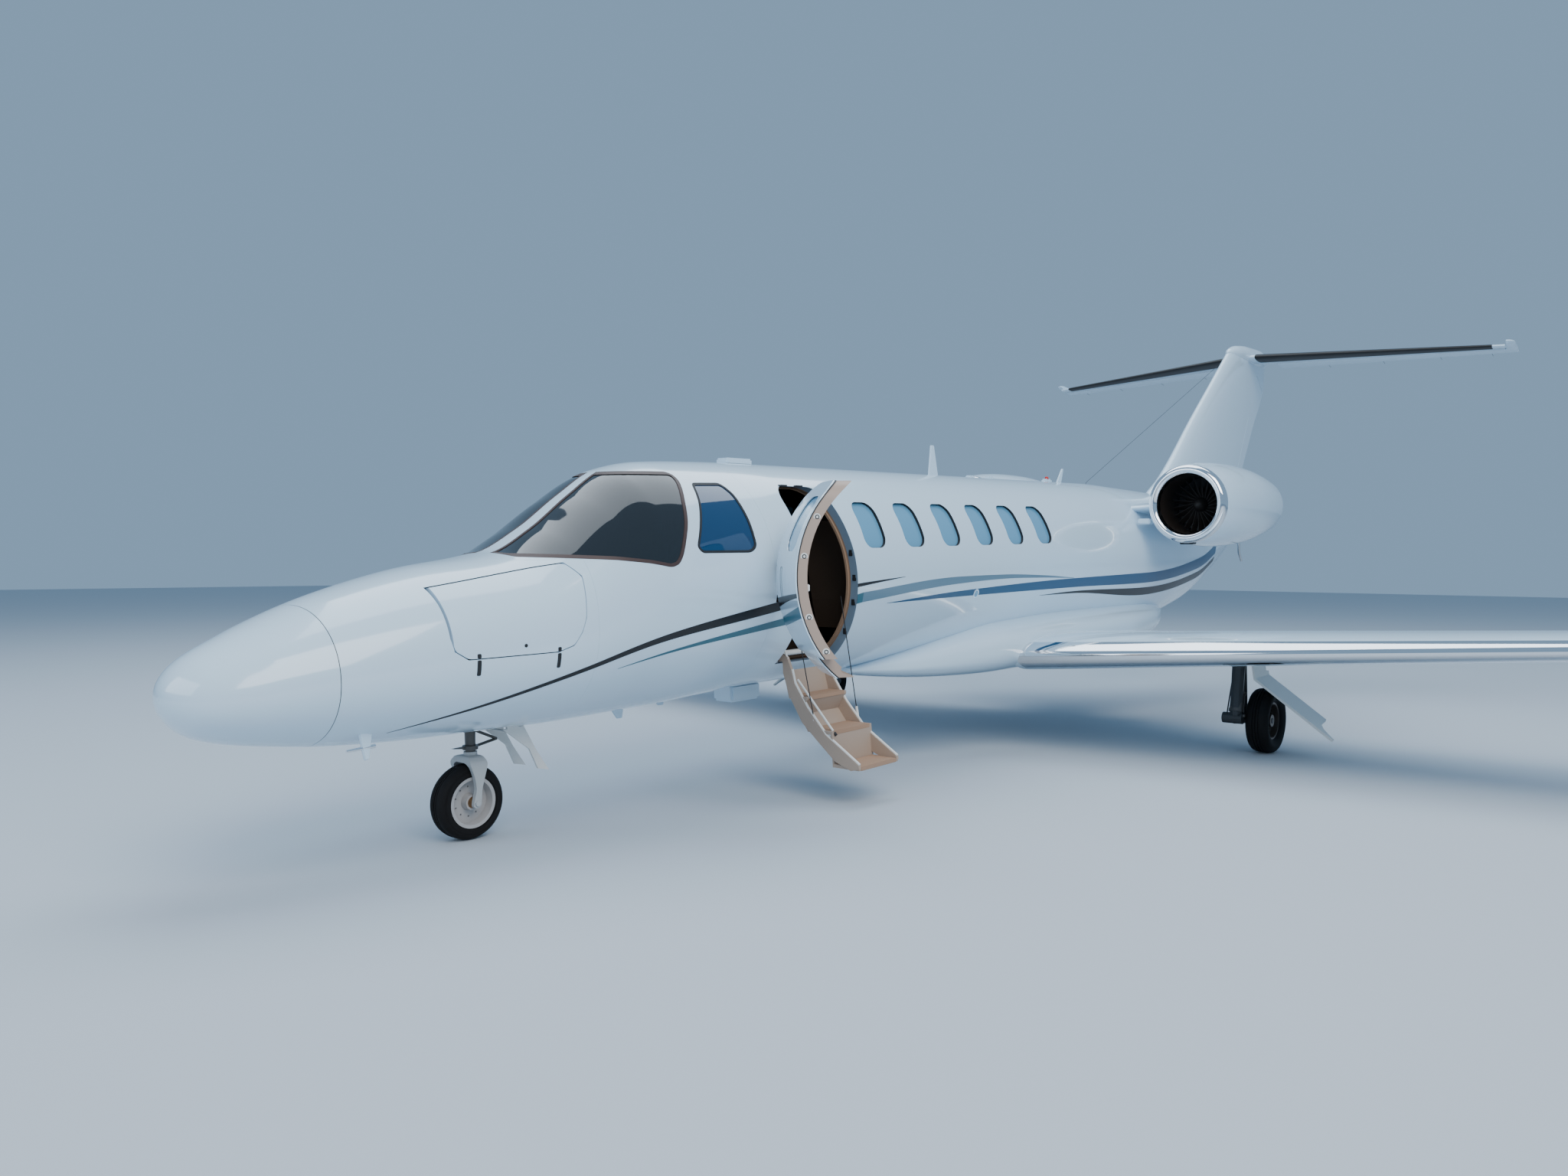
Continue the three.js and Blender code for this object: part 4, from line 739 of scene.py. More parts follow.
def build_door():
    hx, hy = DOOR_HINGE
    pane = common(shell(window_front(-1) - 0.1, window_front(-1) + 0.4, SHADE, 0.01, 0.03),
                  across(cabin_window(-1, 0.004), -0.95, -0.3))
    arms = [box((hx - 0.016, DOOR_FRONT + 0.06), (hy - 0.016, hy + 0.012), (z - 0.014, z + 0.014),
                GEAR_METAL, 0.004) for z in ARM_HEIGHTS]
    liner = door_layer(DOOR_RIM, 0.015, WALL + 0.01, 0.004)
    boolean(liner, bar((4.0, -0.47, 1.1), (4.45, -0.47, 1.1), 0.036, DOOR_RIM))
    light, dark = door_latches()
    handle_ring = ring_between(rounded_box(4.055, 4.1, 1.5, 1.74, 0.012), 0.004)
    handle = turned_over(decal(SEAL, handle_ring, 4.0, 4.2))
    finish_on_door(door_layer(PAINT, 0.0, 0.007, 0.0), "door_panel", skin_shading, ["cabin_door"])
    finish_on_door(door_layer(SEAL, 0.007, 0.015, 0.001), "door_gasket", smooth)
    finish_on_door(liner, "door_liner", smooth)
    finish_on_door(pane, "door_pane", skin_shading)
    finish_on_door(join(arms), "door_arms", smooth)
    finish_on_door(light, "door_latches", smooth)
    finish_on_door(dark, "door_latch_rings", smooth)
    finish_on_door(handle, "door_handle", skin_shading)


def build_door_frame():
    """The lining round the opening and the latch plates in its aft edge."""
    around = inward(door_outline(), -0.03)
    lining = []
    for width, outer, inner in ((0.028, 0.0, 0.015), (0.044, 0.0145, 0.032)):
        ring = decal(TRIM, ring_between(around, width), 3.85, 4.68, WALL + outer, WALL + inner)
        for z in ARM_HEIGHTS:
            boolean(ring, box((3.652, DOOR_FRONT + 0.02), (0.65, 0.9), (z - 0.024, z + 0.024), TRIM))
        lining.append(ring)
    finish_skin(turned_over(join(lining)), "door_lining")
    plates = []
    for z in (1.81, 1.63, 1.451, 1.234):
        s, y = door_aft(z), -skin_side(4.5, z, 0.034)
        plates.append(box((s - 0.003, s + 0.012), (y - 0.017, y + 0.017), (z - 0.024, z + 0.024),
                          SEAL, 0.003))
    for s in (4.03, 4.2):
        plates.append(box((s - 0.03, s + 0.03), (-0.545, -0.505), (2.2855, 2.297), SEAL, 0.002))
    finish(join(plates), "door_latch_plates")


# Wings and tail.
FOIL_X = (1 - np.cos(np.linspace(0, np.pi, 30))) / 2
# Belly fairing: station, half width, top and bottom.
FAIRING_ROWS = np.array([
    (5.05, 0.33, 0.9, 0.842), (5.5, 0.56, 1.0, 0.77), (6.1, 0.76, 1.12, 0.712), (6.7, 0.89, 1.2, 0.688),
    (7.9, 0.93, 1.23, 0.684), (9.0, 0.9, 1.22, 0.7), (9.8, 0.8, 1.21, 0.78), (10.5, 0.56, 1.16, 0.9),
    (10.9, 0.33, 1.12, 0.985)])
# Fairing on the fin: station, half width, rise and middle height.
FIN_TOP_ROWS = [
    (14.08, 0.012, 0.012, 4.408), (14.16, 0.06, 0.06, 4.412), (14.35, 0.104, 0.108, 4.422),
    (14.7, 0.128, 0.13, 4.43), (15.2, 0.118, 0.128, 4.436), (15.5, 0.07, 0.085, 4.424),
    (15.62, 0.02, 0.03, 4.41)]


def half_thickness(x, chord, thick):
    return 5 * thick * chord * (0.2969 * np.sqrt(x) - 0.126 * x - 0.3516 * x ** 2 + 0.2843 * x ** 3
                                - 0.1036 * x ** 4) + 0.0015


def foil_ring(lead, chord, thick, at):
    upper = [at(lead + x * chord, half_thickness(x, chord, thick)) for x in FOIL_X[::-1]]
    lower = [at(lead + x * chord, -half_thickness(x, chord, thick)) for x in FOIL_X]
    return upper + lower


def along(shape, y):
    a, b = np.array(shape["root"]), np.array(shape["tip"])
    return a + (b - a) * (y - a[0]) / (b[0] - a[0])


def panel(shape, mat):
    """A wing from root to tip, with a rounded cap."""
    def ring(lead, chord, thick, y, z):
        return foil_ring(lead, chord, thick, lambda x, h: (x, y, z + h))

    root_y, tip_y, cap = shape["root"][0], shape["tip"][0], shape["cap"]
    rings = []
    for y in np.linspace(root_y, tip_y, 12):
        _, lead, chord, z, thick = along(shape, y)
        rings.append(ring(lead, chord, thick, y, z))
    _, lead, chord, z, thick = along(shape, tip_y)
    rise = (shape["tip"][3] - shape["root"][3]) / (tip_y - root_y)
    for k in range(1, 9):
        t = k / 8 * math.pi / 2
        y = tip_y + (cap - tip_y) * math.sin(t)
        new_chord = chord * (0.82 + 0.18 * math.cos(t))
        rings.append(ring(lead + 0.14 * chord * (1 - math.cos(t)), new_chord,
                          thick * max(math.cos(t), 0.06) * chord / new_chord, y, z + (y - tip_y) * rise))
    return grid(rings, mat)


def hinge_points(shape, control):
    low, high, share = control
    points = []
    for y in (low, high):
        _, lead, chord, z, thick = along(shape, y)
        x = 1 - share
        points.append((Vector((lead + chord * x, y, z)), half_thickness(x, chord, thick) - 0.0015))
    return points


def hinge_region(a, b, r0, r1, up, low, high):
    """The space of a control surface, a box aft of its hinge with a round nose, and where it is."""
    span = (b - a).normalized()
    aft = span.cross(up).normalized()
    if aft.x < 0:
        aft = -aft
    place = Matrix((aft, span, aft.cross(span))).transposed().to_4x4()
    place.translation = a
    block = box((0, 2.5), (low, high), (-0.45, 0.45))
    boolean(block, bar((0, low, 0), (0, high, 0), r0, SEAL, r1, 48), "UNION")
    block.data.transform(place)
    return block, place


def split_control(surface, points, up, horn=0.0):
    """Cuts a control surface out of a larger one and returns it. A horn is its balance at the tip."""
    (a, r0), (b, r1) = points
    length = (b - a).length
    hole, place = hinge_region(a, b, r0 + RUN * 0.7, r1 + RUN * 0.7, up, 0, length)
    tool, _ = hinge_region(a, b, r0, r1, up, RUN, length - RUN)
    if horn:
        for piece, y in ((hole, length - horn), (tool, length - horn + RUN)):
            for extra in (box((-1.2, 0.01), (y, length + 0.5), (-0.45, 0.45)),
                          box((0, 2.5), (length - 0.02, length + 0.5), (-0.45, 0.45))):
                extra.data.transform(place)
                boolean(piece, extra, "UNION")
    moving = common(copy(surface), tool)
    boolean(surface, hole)
    return moving


def both(obj, name, node=None, body=None):
    """Finishes the starboard piece and its mirror image, on the airframe or on a body each side."""
    for side, piece in (("right", obj), ("left", mirrored(obj))):
        finish(piece, f"{name}_{side}", [f"{node}_{side}"] if node else (),
               f"{body}_{side}" if body else "airframe")


def build_wings():
    wing = panel(WING, PAINT)
    root, tip = along(WING, 0.7), along(WING, 8.3)
    line = [(6.0, 0.0), (root[1] + root[2] * WING_EDGE, 0.0), (root[1] + root[2] * WING_EDGE, 0.7),
            (tip[1] + tip[2] * WING_EDGE, 8.3), (6.0, 8.3)]
    region = common(prism(line, "z", 0.2, 2.2), box((5.9, 9.0), (0.86, 8.04), (0.1, 2.3)))
    edge = common(copy(wing), copy(region))
    boolean(wing, region)
    for name, control in (("flap", FLAP), ("aileron", AILERON)):
        piece = split_control(wing, hinge_points(WING, control), Vector((0, 0, 1)))
        both(piece, name + "_skin", name, name)
    pad = bar((JACK_PAD[0], JACK_PAD[1], JACK_PAD[2] + 0.11), JACK_PAD, 0.034, PAINT, sides=24)
    both(join([wing, pad]), "wing_skin", "wing")
    edge.data.materials.clear()
    edge.data.materials.append(CHROME)
    both(edge, "leading_edge_skin", "leading_edge")


def build_fairing():
    rings = []
    for s in np.linspace(5.05, 10.9, 80):
        half, upper, bottom = (between(FAIRING_ROWS, c, s) for c in (1, 2, 3))
        rings.append(oval(s, (upper + bottom) / 2, half, (upper - bottom) / 2, 0.7, 0.7))
    finish(grid(rings, PAINT), "fairing_skin", ["belly_fairing"])


def smooth_rows(rows, count):
    rows = np.array(rows)
    at = np.linspace(rows[0, 0], rows[-1, 0], count)
    return [[h] + [between(rows, c, h) for c in range(1, rows.shape[1])] for h in at]


def build_fin():
    fin = grid([foil_ring(lead, trail - lead, 2 * half / (trail - lead), lambda x, h, z=z: (x, h, z))
                for z, lead, trail, half in smooth_rows(FIN_ROWS, 40)], PAINT)
    low, high = (Vector((s, 0, z)) for s, z in (RUDDER_LOW, RUDDER_HIGH))
    rudder = split_control(fin, ((low, 0.029), (high, 0.049)), Vector((0, 1, 0)))
    finish(rudder, "rudder_skin", ["rudder"], "rudder")
    finish(fin, "fin_skin", ["fin"])
    rings = [oval(x, z, half, rise, count=48) for x, half, rise, z in smooth_rows(FIN_TOP_ROWS, 60)]
    finish(grid(rings, PAINT), "fin_top_fairing")


def build_stabilizer():
    stab = panel(STAB, PAINT)
    points = hinge_points(STAB, ELEVATOR)
    elevator = split_control(stab, points, Vector((0, 0, 1)), ELEVATOR_HORN)
    (a, _), (b, _) = points
    hinge = (b - a).normalized()
    turn(elevator, a, ELEVATOR_DROOP, hinge)
    both(elevator, "elevator_skin", "elevator", "elevator")
    finish(join([stab, mirrored(stab)]), "stabilizer_skin", ["stabilizer"])
    wicks = trailing_wicks(STAB, (0.9, 1.6, 2.3, 2.9), 0.1)
    turn(wicks, a, ELEVATOR_DROOP, hinge)
    both(wicks, "elevator_wicks", None, "elevator")


def build_boots():
    """Black de-icing boots on the stabilizer's leading edges."""
    inner, outer = BOOT_SPAN
    root, tip = along(STAB, inner), along(STAB, outer)
    grow = 0.004
    boot = panel({"root": (inner, root[1] - grow, root[2] + 2 * grow, root[3], root[4] * 1.06),
                  "tip": (outer, tip[1] - grow, tip[2] + 2 * grow, tip[3], tip[4] * 1.08),
                  "cap": outer + 0.06}, BOOT)
    common(boot, prism([(14.4, inner - 0.01), (root[1] + root[2] * BOOT_SHARE, inner - 0.01),
                        (tip[1] + tip[2] * BOOT_SHARE, outer + 0.1), (14.4, outer + 0.1)], "z", 4.0, 4.8))
    both(boot, "deice_boot")


def trailing_wicks(shape, spans, reach, drop=0.0):
    """Static wicks behind a trailing edge."""
    wicks = []
    for y in spans:
        _, lead, chord, z, _ = along(shape, abs(y))
        end = lead + chord
        wicks.append(bar((end - 0.02, y, z), (end + reach, y, z + drop), 0.0025, DARK, 0.0015, 8))
    return join(wicks)


# Engines. Nacelle rows are distance behind the inlet and radius.
NACELLE_OUTER = [
    (0.095, 0.398), (0.2, 0.414), (0.35, 0.428), (0.55, 0.437), (0.75, 0.4385), (1.0, 0.434), (1.2, 0.426),
    (1.45, 0.405), (1.7, 0.373), (1.85, 0.35), (1.99, 0.326)]
NACELLE_INNER = [(0.095, 0.3), (0.56, 0.3), (0.7, 0.31), (1.2, 0.33), (1.7, 0.3), (1.99, 0.3)]
FAN_BLADES = 22
DRAIN = [(10.89, 1.8), (10.9, 1.69), (10.94, 1.64), (10.97, 1.6)]


def nacelle(k, centre):
    profile = [(r, x) for x, r in NACELLE_OUTER] + [(r, x) for x, r in NACELLE_INNER[::-1]]
    obj = lathe(profile + profile[:1], PAINT, centre, (1, 0, 0), 96)
    for up in (1, -1):
        cutter = box((-0.45, 0.45), (-0.45, 0.45), (-0.45, 0.45))
        cutter.data.transform(Matrix.Translation((INLET + 2.23, k * ENGINE_Y, ENGINE_Z + up * 0.61))
                              @ Matrix.Rotation(up * math.radians(38), 4, "Y"))
        boolean(obj, cutter)
    # Faces inside the bore take the duct's near black, painted shade.
    obj.data.materials.append(DUCT_PAINTED_SHADE)
    for face in obj.data.polygons:
        s, y, z = face.center
        if math.hypot(y - centre[1], z - centre[2]) < 0.335 and s - INLET < 1.98:
            face.material_index = 1
    return obj


def inlet_lip(centre):
    profile = [(INLET_BORE, 0.095), (INLET_BORE, 0.055)]
    for t in np.linspace(0, math.pi, 19):
        radius = INLET_BORE + 0.045 * (1 - math.cos(t)) + 0.008 * t / math.pi
        profile.append((radius, 0.052 - 0.05 * math.sin(t)))
    return lathe(profile + [(0.398, 0.095), (INLET_BORE, 0.095)], CHROME, centre, (1, 0, 0), 96)


def fan(centre):
    spinner = [(0.0, -0.12), (0.02, -0.116), (0.045, -0.095), (0.068, -0.05), (0.08, 0.0), (0.08, 0.06),
               (0.0, 0.06)]
    # Spinner and blades near black, painted shade inside the inlet.
    parts = [lathe(spinner, FAN, centre, (1, 0, 0), 32)]
    for i in range(FAN_BLADES):
        blade = grid([[(dx * (0.7 + 0.5 * q), dx * (0.9 - 0.5 * q) + dy, 0.07 + 0.22 * q)
                       for dx, dy in ((-0.03, -0.002), (0.03, -0.002), (0.03, 0.002), (-0.03, 0.002))]
                      for q in (0, 0.5, 1)], FAN)
        swing = Matrix.Rotation(2 * math.pi * i / FAN_BLADES, 4, "X")
        blade.data.transform(Matrix.Translation(centre) @ swing)
        parts.append(blade)
    return join(parts)


def pylon(k):
    return grid([foil_ring(INLET + 0.23, 1.5, 0.085, lambda x, h, y=y, z=z: (x, k * y, z + h))
                 for y, z in ((0.56, ENGINE_Z - 0.03), (ENGINE_Y - 0.36, ENGINE_Z - 0.015))], PAINT)


def build_engines():
    for side, k in SIDES:
        y = k * ENGINE_Y
        centre = (INLET, y, ENGINE_Z)
        finish(nacelle(k, centre), "nacelle_skin_" + side, ["nacelle_" + side])
        finish(inlet_lip(centre), "inlet_lip_skin_" + side, ["inlet_lip_" + side])
        finish(fan(Vector((FAN_STATION, y, ENGINE_Z))), "fan_blades_" + side, ["fan_" + side],
               "fan_" + side)
        finish(pylon(k), "pylon_skin_" + side, ["pylon_" + side])
        slot = prism(rounded_box(y - 0.075, y + 0.075, ENGINE_Z - 0.408, ENGINE_Z - 0.378, 0.014), "x",
                     INLET + 0.052, INLET + 0.11)
        drain = tube_along([(s, y, z) for s, z in DRAIN], 0.014, STEEL)
        scoop = across([(9.4, 2.015), (9.46, 2.012), (9.6, 2.03), (9.6, 2.06), (9.4, 2.075)],
                       *sorted((k * 0.76, k * 0.9)), PAINT)
        finish(slot, "inlet_chin_slot_" + side)
        finish(drain, "engine_drain_" + side)
        finish(bevelled(scoop, 0.012), "pylon_scoop_" + side)


# Stripes, each a line of station, top and bottom on the skin.
STRIPES = {
    "black": (BLACK_PAINT, [
        [(1.047, 0.934, 0.932), (1.507, 1.041, 1.025), (2.112, 1.192, 1.165), (2.687, 1.33, 1.29),
         (3.577, 1.482, 1.418), (3.94, 1.534, 1.474), (4.2, 1.56, 1.52), (4.54, 1.588, 1.562),
         (5.117, 1.618, 1.616)],
        [(7.3, 1.371, 1.369), (7.96, 1.381, 1.361), (9.7, 1.349, 1.265), (11.3, 1.455, 1.37),
         (12.2, 1.62, 1.56)]]),
    "teal": (TEAL_PAINT, [
        [(2.392, 1.161, 1.159), (3.038, 1.274, 1.25), (3.619, 1.362, 1.314), (3.94, 1.408, 1.35),
         (4.6, 1.52, 1.447)]]),
    "grey": (GREY_PAINT, [
        [(4.6, 1.52, 1.447), (5.87, 1.591, 1.533), (6.6, 1.585, 1.548), (7.3, 1.555, 1.533),
         (7.9, 1.512, 1.508)]]),
    "blue": (BLUE_PAINT, [
        [(4.919, 1.425, 1.423), (5.9, 1.472, 1.426), (7.9, 1.506, 1.42), (9.6, 1.507, 1.399),
         (11.3, 1.623, 1.5), (12.2, 1.78, 1.66)]]),
}


def stripe(rows, mat):
    rows = smooth_rows(rows, 40)
    outline = [(s, top) for s, top, _ in rows] + [(s, low) for s, _, low in reversed(rows)]
    return decal(mat, across(outline, 0.03, 0.96), rows[0][0], rows[-1][0])


def build_stripes():
    for colour, (mat, lines) in STRIPES.items():
        right = join([stripe(rows, mat) for rows in lines])
        left = mirrored(right)
        if colour in ("black", "teal"):
            on_door = common(copy(left), door_tool(SEAL, 0.008))
            finish_on_door(on_door, f"stripe_{colour}_door", skin_shading)
            boolean(left, door_tool())
        for side, piece in (("right", right), ("left", left)):
            finish_skin(piece, f"stripe_{colour}_{side}")


# Fittings on the fuselage: antennas, probes, latches and lights.
CATCH_STATIONS = (1.436, 1.93)


def fin_blade(outline, y, half):
    return bevelled(across(outline, y - half, y + half, PAINT), half * 0.5)


def build_antennas():
    blades = []
    for s, base, tip in ((2.91, 0.815, 0.734), (3.285, 0.828, 0.778)):
        outline = [(s - 0.05, base), (s + 0.07, base), (s + 0.055, tip), (s + 0.01, tip)]
        blades.append(fin_blade(outline, 0, 0.006))
    for low, high, y, z, bevel in (
            (3.93, 4.245, 0.1, (0.728, 0.86), 0.02), (3.96, 4.23, 0.06, (2.46, 2.511), 0.012),
            (7.305, 7.405, 0.03, (2.46, 2.492), 0.012), (7.664, 7.764, 0.03, (2.46, 2.492), 0.012),
            (8.8, 8.94, 0.03, (2.46, 2.505), 0.014)):
        blades.append(box((low, high), (-y, y), z, PAINT, bevel))
    blades.append(fin_blade([(6.65, 2.462), (6.8, 2.462), (6.735, 2.744), (6.69, 2.744)], 0, 0.009))
    blades.append(fin_blade([(9.08, 2.462), (9.18, 2.462), (9.235, 2.623), (9.205, 2.623)], 0, 0.007))
    finish(join(blades), "antennas")
    wire = tube_along([(9.774, 0, 2.455), (9.774, 0, 2.49), (13.84, 0, 4.24)], 0.002, DARK, 8)
    finish(wire, "wire_antenna")
    beacon = [(0.02, 0.0), (0.02, 0.015), (0.012, 0.028), (0.0, 0.032)]
    finish(lathe(beacon, RED, (8.87, 0, 2.5), (0, 0, 1), 24), "beacon")


def build_probes():
    outline = [(0.893, 0.955), (0.968, 0.952), (0.948, 0.812), (0.922, 0.806)]
    masts = [fin_blade(outline, y, 0.009) for y in (-0.35, 0.35)]
    tubes = [bar((0.985, y, 0.874), (0.825, y, 0.868), 0.011, CHROME, 0.007) for y in (-0.35, 0.35)]
    finish(join(masts), "pitot_masts")
    finish(join(tubes), "pitot_tubes")


def build_port_ring():
    """The small round fitting below the windows."""
    s, z = 6.174, 1.437
    for name, radius, mat, outer in (("ring", 0.04, CHROME, -0.003), ("glass", 0.026, SHADE, -0.004)):
        tool = across(rounded_box(s - radius, s + radius, z - radius, z + radius, radius - 1e-4, 8))
        port = turned_over(decal(mat, tool, s - 0.1, s + 0.1, outer, 0.002))
        finish_skin(port, "round_port_" + name)


def build_bay_latches():
    for side, k in SIDES:
        catches = join([decal(DARK, across(rounded_box(s - 0.011, s + 0.011, 1.213, 1.296, 0.006)),
                              s - 0.1, s + 0.1, -0.003, 0.002) for s in CATCH_STATIONS])
        spots = [rounded_box(1.706, 1.726, 1.344, 1.364, 0.0099)]
        spots += [rounded_box(s - 0.011, s + 0.011, 1.306, 1.33, 0.006) for s in CATCH_STATIONS]
        lock = join([decal(DARK, across(spot), spot[0][0] - 0.1, spot[0][0] + 0.1, -0.002, 0.002)
                     for spot in spots])
        finish_skin(on_side(catches, k), "bay_catches_" + side)
        finish_skin(on_side(lock, k), "bay_lock_" + side, (), "baggage_door_" + side)


def build_lights():
    tip = along(WING, 8.09)
    lens = [(0.0, -0.07), (0.014, -0.05), (0.02, 0.0), (0.014, 0.05), (0.0, 0.07)]
    for (side, k), mat in zip(SIDES, (GREEN, RED)):
        light = lathe(lens, mat, (tip[1] + 0.24, k * 8.105, tip[3]), (1, 0, 0), 20)
        finish(light, "wing_light_" + side)
        wicks = trailing_wicks(WING, (k * 5.6, k * 6.3, k * 7.0), 0.11, 0.004)
        finish(wicks, "static_wicks_" + side, (), "aileron_" + side)


# Airstair trim. An edge row is outward distance and height, a tread row inner edge, nose and height.
STAIR_EDGE = [(0.624, 1.0), (0.65, 0.905), (0.762, 0.745), (0.925, 0.57), (1.208, 0.395)]
STAIR_PLATES = (3.997, 4.43)
STAIR_TREADS = [(0.6, 0.758, 0.818), (0.763, 0.981, 0.6), (0.983, 1.208, 0.378)]
STAYS = {
    "front": ((3.965, -0.662, 1.49), (3.997, -0.832, 0.6)),
    "aft": ((4.47, -0.69, 1.495), (4.44, -0.858, 0.64))}


def build_stair_trim():
    rails = [tube_along([(s, -o - 0.002, z + 0.003) for o, z in STAIR_EDGE], 0.009, WHITE)
             for s in STAIR_PLATES]
    rails.append(bar((3.997, -0.528, 1.19), (3.997, -0.585, 1.07), 0.008, WHITE))
    rails.append(bar((4.02, -0.655, 0.93), (4.02, -0.975, 0.59), 0.008, WHITE))
    end = bar((4.02, -0.975, 0.59), (4.02, -0.992, 0.572), 0.011)
    covers = [box((4.013, 4.414), (-nose - 0.003, -inner - 0.016), (z - 0.024, z + 0.004), TREAD, 0.002)
              for inner, nose, z in STAIR_TREADS]
    roller = bar((4.06, -0.47, 1.1), (4.37, -0.47, 1.1), 0.02, WHITE)
    finish(join(rails), "stair_rails", (), "airstair")
    finish(end, "stair_link_ends", (), "airstair")
    finish(join(covers), "stair_treads", (), "airstair")
    finish(roller, "stair_roller", (), "airstair")


def build_stays():
    """A cable each side, from the door opening to a socket on the airstair."""
    for name, (top, foot) in STAYS.items():
        top, foot = Vector(top), Vector(foot)
        along_stay = (top - foot).normalized()
        socket = bar(foot - along_stay * 0.02, foot + along_stay * 0.07, 0.01, WHITE)
        finish(socket, f"stay_socket_{name}", (), "airstair")
        cable = bar(top, foot + along_stay * 0.06, 0.0035, DARK, sides=10)
        smooth(cable)
        cable.name = cable.data.name = f"stay_cable_{name}"
        cable.data.transform(LEVEL)
        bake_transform(cable)


# Wheels and gear legs.
def wheel_height(station, radius):
    """How high a wheel's axle is in the level airframe, with its tyre on the ground."""
    return (radius - (station - TILT_STATION) * math.sin(NOSE_DOWN)) / math.cos(NOSE_DOWN)


def tyre(name, wheel, y, body, node, chine=False):
    r, h, rim_radius, bead = (wheel[k] for k in ("radius", "half", "rim", "bead"))
    half = [(rim_radius, h * bead), (rim_radius + 0.008, h * (0.3 + 0.7 * bead)),
            (rim_radius + 0.02, h * max(0.86, bead)), ((r + rim_radius) / 2, h * 0.985),
            (r - 0.045, h), (r - 0.025, h * 0.93), (r - 0.012, h * 0.8), (r - 0.004, h * 0.6),
            (r - 0.001, h * 0.36), (r - 0.0005, h * 0.3), (r - 0.008, h * 0.28), (r - 0.008, h * 0.22),
            (r - 0.0003, h * 0.2), (r, 0.006), (r - 0.008, 0.004)]
    if chine:
        half[4:5] = [(r - 0.062, h), (r - 0.05, h), (r - 0.04, h * 0.93)]
    profile = half + [(a, -b) for a, b in half[::-1]]
    centre = (wheel["station"], y, wheel_height(wheel["station"], r))
    finish(lathe(profile + profile[:1], RUBBER, centre, (0, 1, 0), 96), name, [node], body)


def rim(name, wheel, y, body, node, mat, bore, holes):
    r, flange = wheel["rim"] - 0.0005, wheel["half"] * wheel["bead"]
    inner, outer = bore + 0.034, r - 0.02
    half = [(r, flange - 0.004), (r + 0.006, flange - 0.002), (r + 0.006, flange + 0.002),
            (r - 0.013, flange), (outer, 0.01), (inner, 0.014), (bore + 0.028, flange * 0.9),
            (bore, flange * 0.9)]
    profile = [(a, -b) for a, b in half[::-1]] + half
    centre = Vector((wheel["station"], y, wheel_height(wheel["station"], wheel["radius"])))
    obj = lathe(profile + profile[:1], mat, centre, (0, 1, 0), 72)
    middle, reach = (inner + outer) / 2, Vector((0, 0.05, 0))
    hole_radius = (outer - inner) * 0.3 if holes < 10 else 0.0055
    for i in range(holes):
        t = 2 * math.pi * (i + 0.5) / holes
        p = centre + Vector((middle * math.cos(t), 0, middle * math.sin(t)))
        boolean(obj, bar(p - reach, p + reach, hole_radius, mat, sides=16))
    finish(obj, name, [node], body)


def build_wheels():
    tyre("nose_tyre_skin", NOSE_WHEEL, 0.0, "nose_wheel", "nose_tyre", True)
    rim("nose_rim_skin", NOSE_WHEEL, 0.0, "nose_wheel", "nose_rim", RIM_GREY, 0.0166, 10)
    hub = Vector((NOSE_WHEEL["station"], 0, wheel_height(NOSE_WHEEL["station"], NOSE_WHEEL["radius"])))
    hubs = [bar(hub + Vector((0, k * 0.06, 0)), hub + Vector((0, k * 0.079, 0)), 0.034, BRASS, 0.026, 28)
            for k in (-1, 1)]
    finish(join(hubs), "nose_hub_caps", (), "nose_wheel")
    for side, k in SIDES:
        y, body = k * MAIN_WHEEL["y"], "main_wheel_" + side
        tyre("main_tyre_skin_" + side, MAIN_WHEEL, y, body, "main_tyre_" + side)
        rim("main_rim_skin_" + side, MAIN_WHEEL, y, body, "main_rim_" + side, DARK_RIM, 0.0247,
            8)


def build_nose_fork():
    """Two arms, narrow at the axle, under a rounded crown."""
    station, radius, half = (NOSE_WHEEL[k] for k in ("station", "radius", "half"))
    height = wheel_height(station, radius)
    side = [(-0.024, -0.016), (-0.01, -0.028), (0.012, -0.028), (0.026, -0.014), (0.03, 0.02),
            (0.035, 0.078), (0.064, 0.176), (0.08, radius + 0.006), (0.07, radius + 0.052),
            (-0.026, radius + 0.052), (-0.04, radius + 0.01), (-0.01, 0.146), (-0.001, 0.078),
            (-0.02, 0.014)]
    inside, outside, low, top = half + 0.009, half + 0.036, height - 0.1, height + radius
    left = [(-inside, low), (-outside, low), (-outside, top + 0.01), (-outside * 0.62, top + 0.05)]
    inner = [(inside, top - 0.01), (inside * 0.62, top + 0.013)]
    front = left[1:] + [(-y, z) for y, z in left[::-1]] + inner + [(-y, z) for y, z in inner[::-1]] + left[:1]
    arms = across(arcs([(station + s, height + z) for s, z in side], 0.02), -0.2, 0.2, LIGHT_GREY)
    common(arms, prism(arcs(front, 0.02), "x", station - 0.2, station + 0.2))
    pin = bar((station, -outside - 0.011, height), (station, outside + 0.011, height), 0.016, LIGHT_GREY)
    pivot = station + 0.032
    swivel = bar((pivot, 0, top + 0.04), (pivot, 0, top + 0.0697), 0.04, LIGHT_GREY, sides=32)
    fork = join([bevelled(arms, 0.004), pin, swivel])
    finish(fork, "nose_fork_skin", ["nose_fork"], "nose_fork")


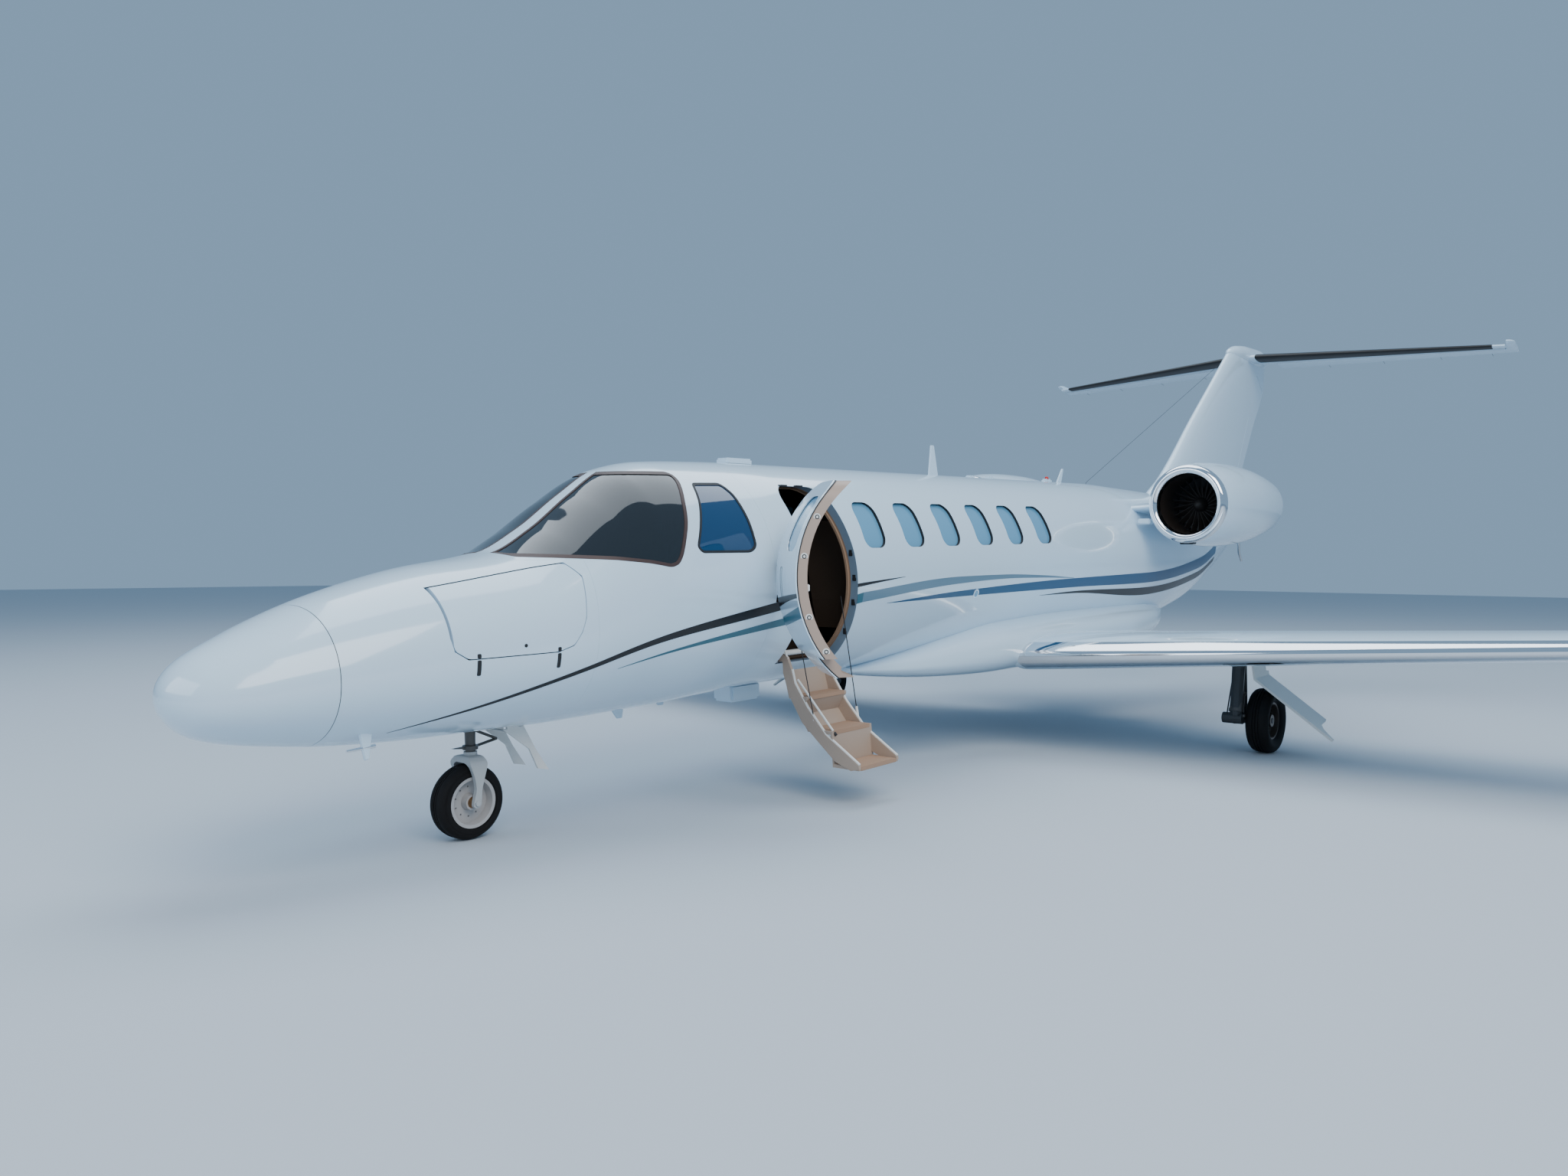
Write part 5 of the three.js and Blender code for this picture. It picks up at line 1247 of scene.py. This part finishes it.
def build_main_leg_details():
    """A sleeve, collars, bolts and a brake line on each leg."""
    station, height = MAIN_WHEEL["station"], wheel_height(MAIN_WHEEL["station"], MAIN_WHEEL["radius"])
    inner = MAIN_WHEEL["y"] - MAIN_WHEEL["half"] - 0.064
    foot, rise = height + 0.06, 0.6 - height

    for side, k in SIDES:
        def at(share, out=0.0, aft=0.0):
            return Vector((station - 0.285 + 0.11 * share + aft, k * (inner + out), foot + rise * share))

        parts = [bar(at(low), at(high), radius, mat, sides=28) for low, high, radius, mat in (
            (0.1, 0.18, 0.062, LEG_STEEL), (0.56, 0.62, 0.066, STEEL), (0.18, 0.56, 0.058, LEG_STEEL))]
        parts += [bar(at(0.02, d * 0.055), at(0.02, d * 0.08), 0.016, STEEL) for d in (-1, 1)]
        line = tube_along([at(0.95, -0.045, -0.055), at(0.6, -0.052, -0.05), at(0.3, -0.058, -0.045),
                           at(0.05, -0.065, -0.03), at(-0.05, -0.05, 0.06)], 0.006, DARK)
        finish(join(parts), "leg_collars_" + side)
        finish(line, "brake_line_" + side)


def repaint():
    """Colours the solids that are seen as they are, with painted sunlight on the gear doors and painted shade
    on the galley.
    """
    looks = {
        "airstair": TAN, "stair_hinge": STEEL, "door_hinge_pin": STEEL, "cabin_floor": CARPET,
        # The galley cabinet takes the lining's near black as painted shade.
        "instrument_panel": DARK, "cockpit_seats": LEATHER, "cabin_seats": LEATHER, "galley_cabinet": LINING_IN_PAINTED_SHADE,
        # The nose gear doors take a neutral white as painted sunlight.
        "nose_leg": LEG_STEEL, "nose_gear_doors": WHITE}
    for side, _ in SIDES:
        # The main gear doors take a neutral white as painted sunlight.
        looks |= {"main_leg_" + side: GEAR_METAL, "main_gear_door_" + side: WHITE,
                  "engine_" + side: GEAR_METAL}
    for node, mat in looks.items():
        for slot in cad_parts[node].material_slots:
            slot.link = "OBJECT"
            slot.material = mat


def studio_floor():
    size = 60
    obj = raw([(-size, -size, -0.002), (size, -size, -0.002), (size, size, -0.002), (-size, size, -0.002)],
              [(0, 1, 2, 3)], FLOOR)
    obj.name = obj.data.name = "floor"


camera()
lights()
build_nose()
build_baggage_doors()
build_cockpit()
build_windows()
build_cabin()
build_door()
build_door_frame()
build_wings()
build_fairing()
build_fin()
build_stabilizer()
build_boots()
build_engines()
build_wheels()
build_nose_fork()
build_main_leg_details()
build_stripes()
build_antennas()
build_probes()
build_port_ring()
build_bay_latches()
build_lights()
build_stair_trim()
build_stays()
repaint()
studio_floor()
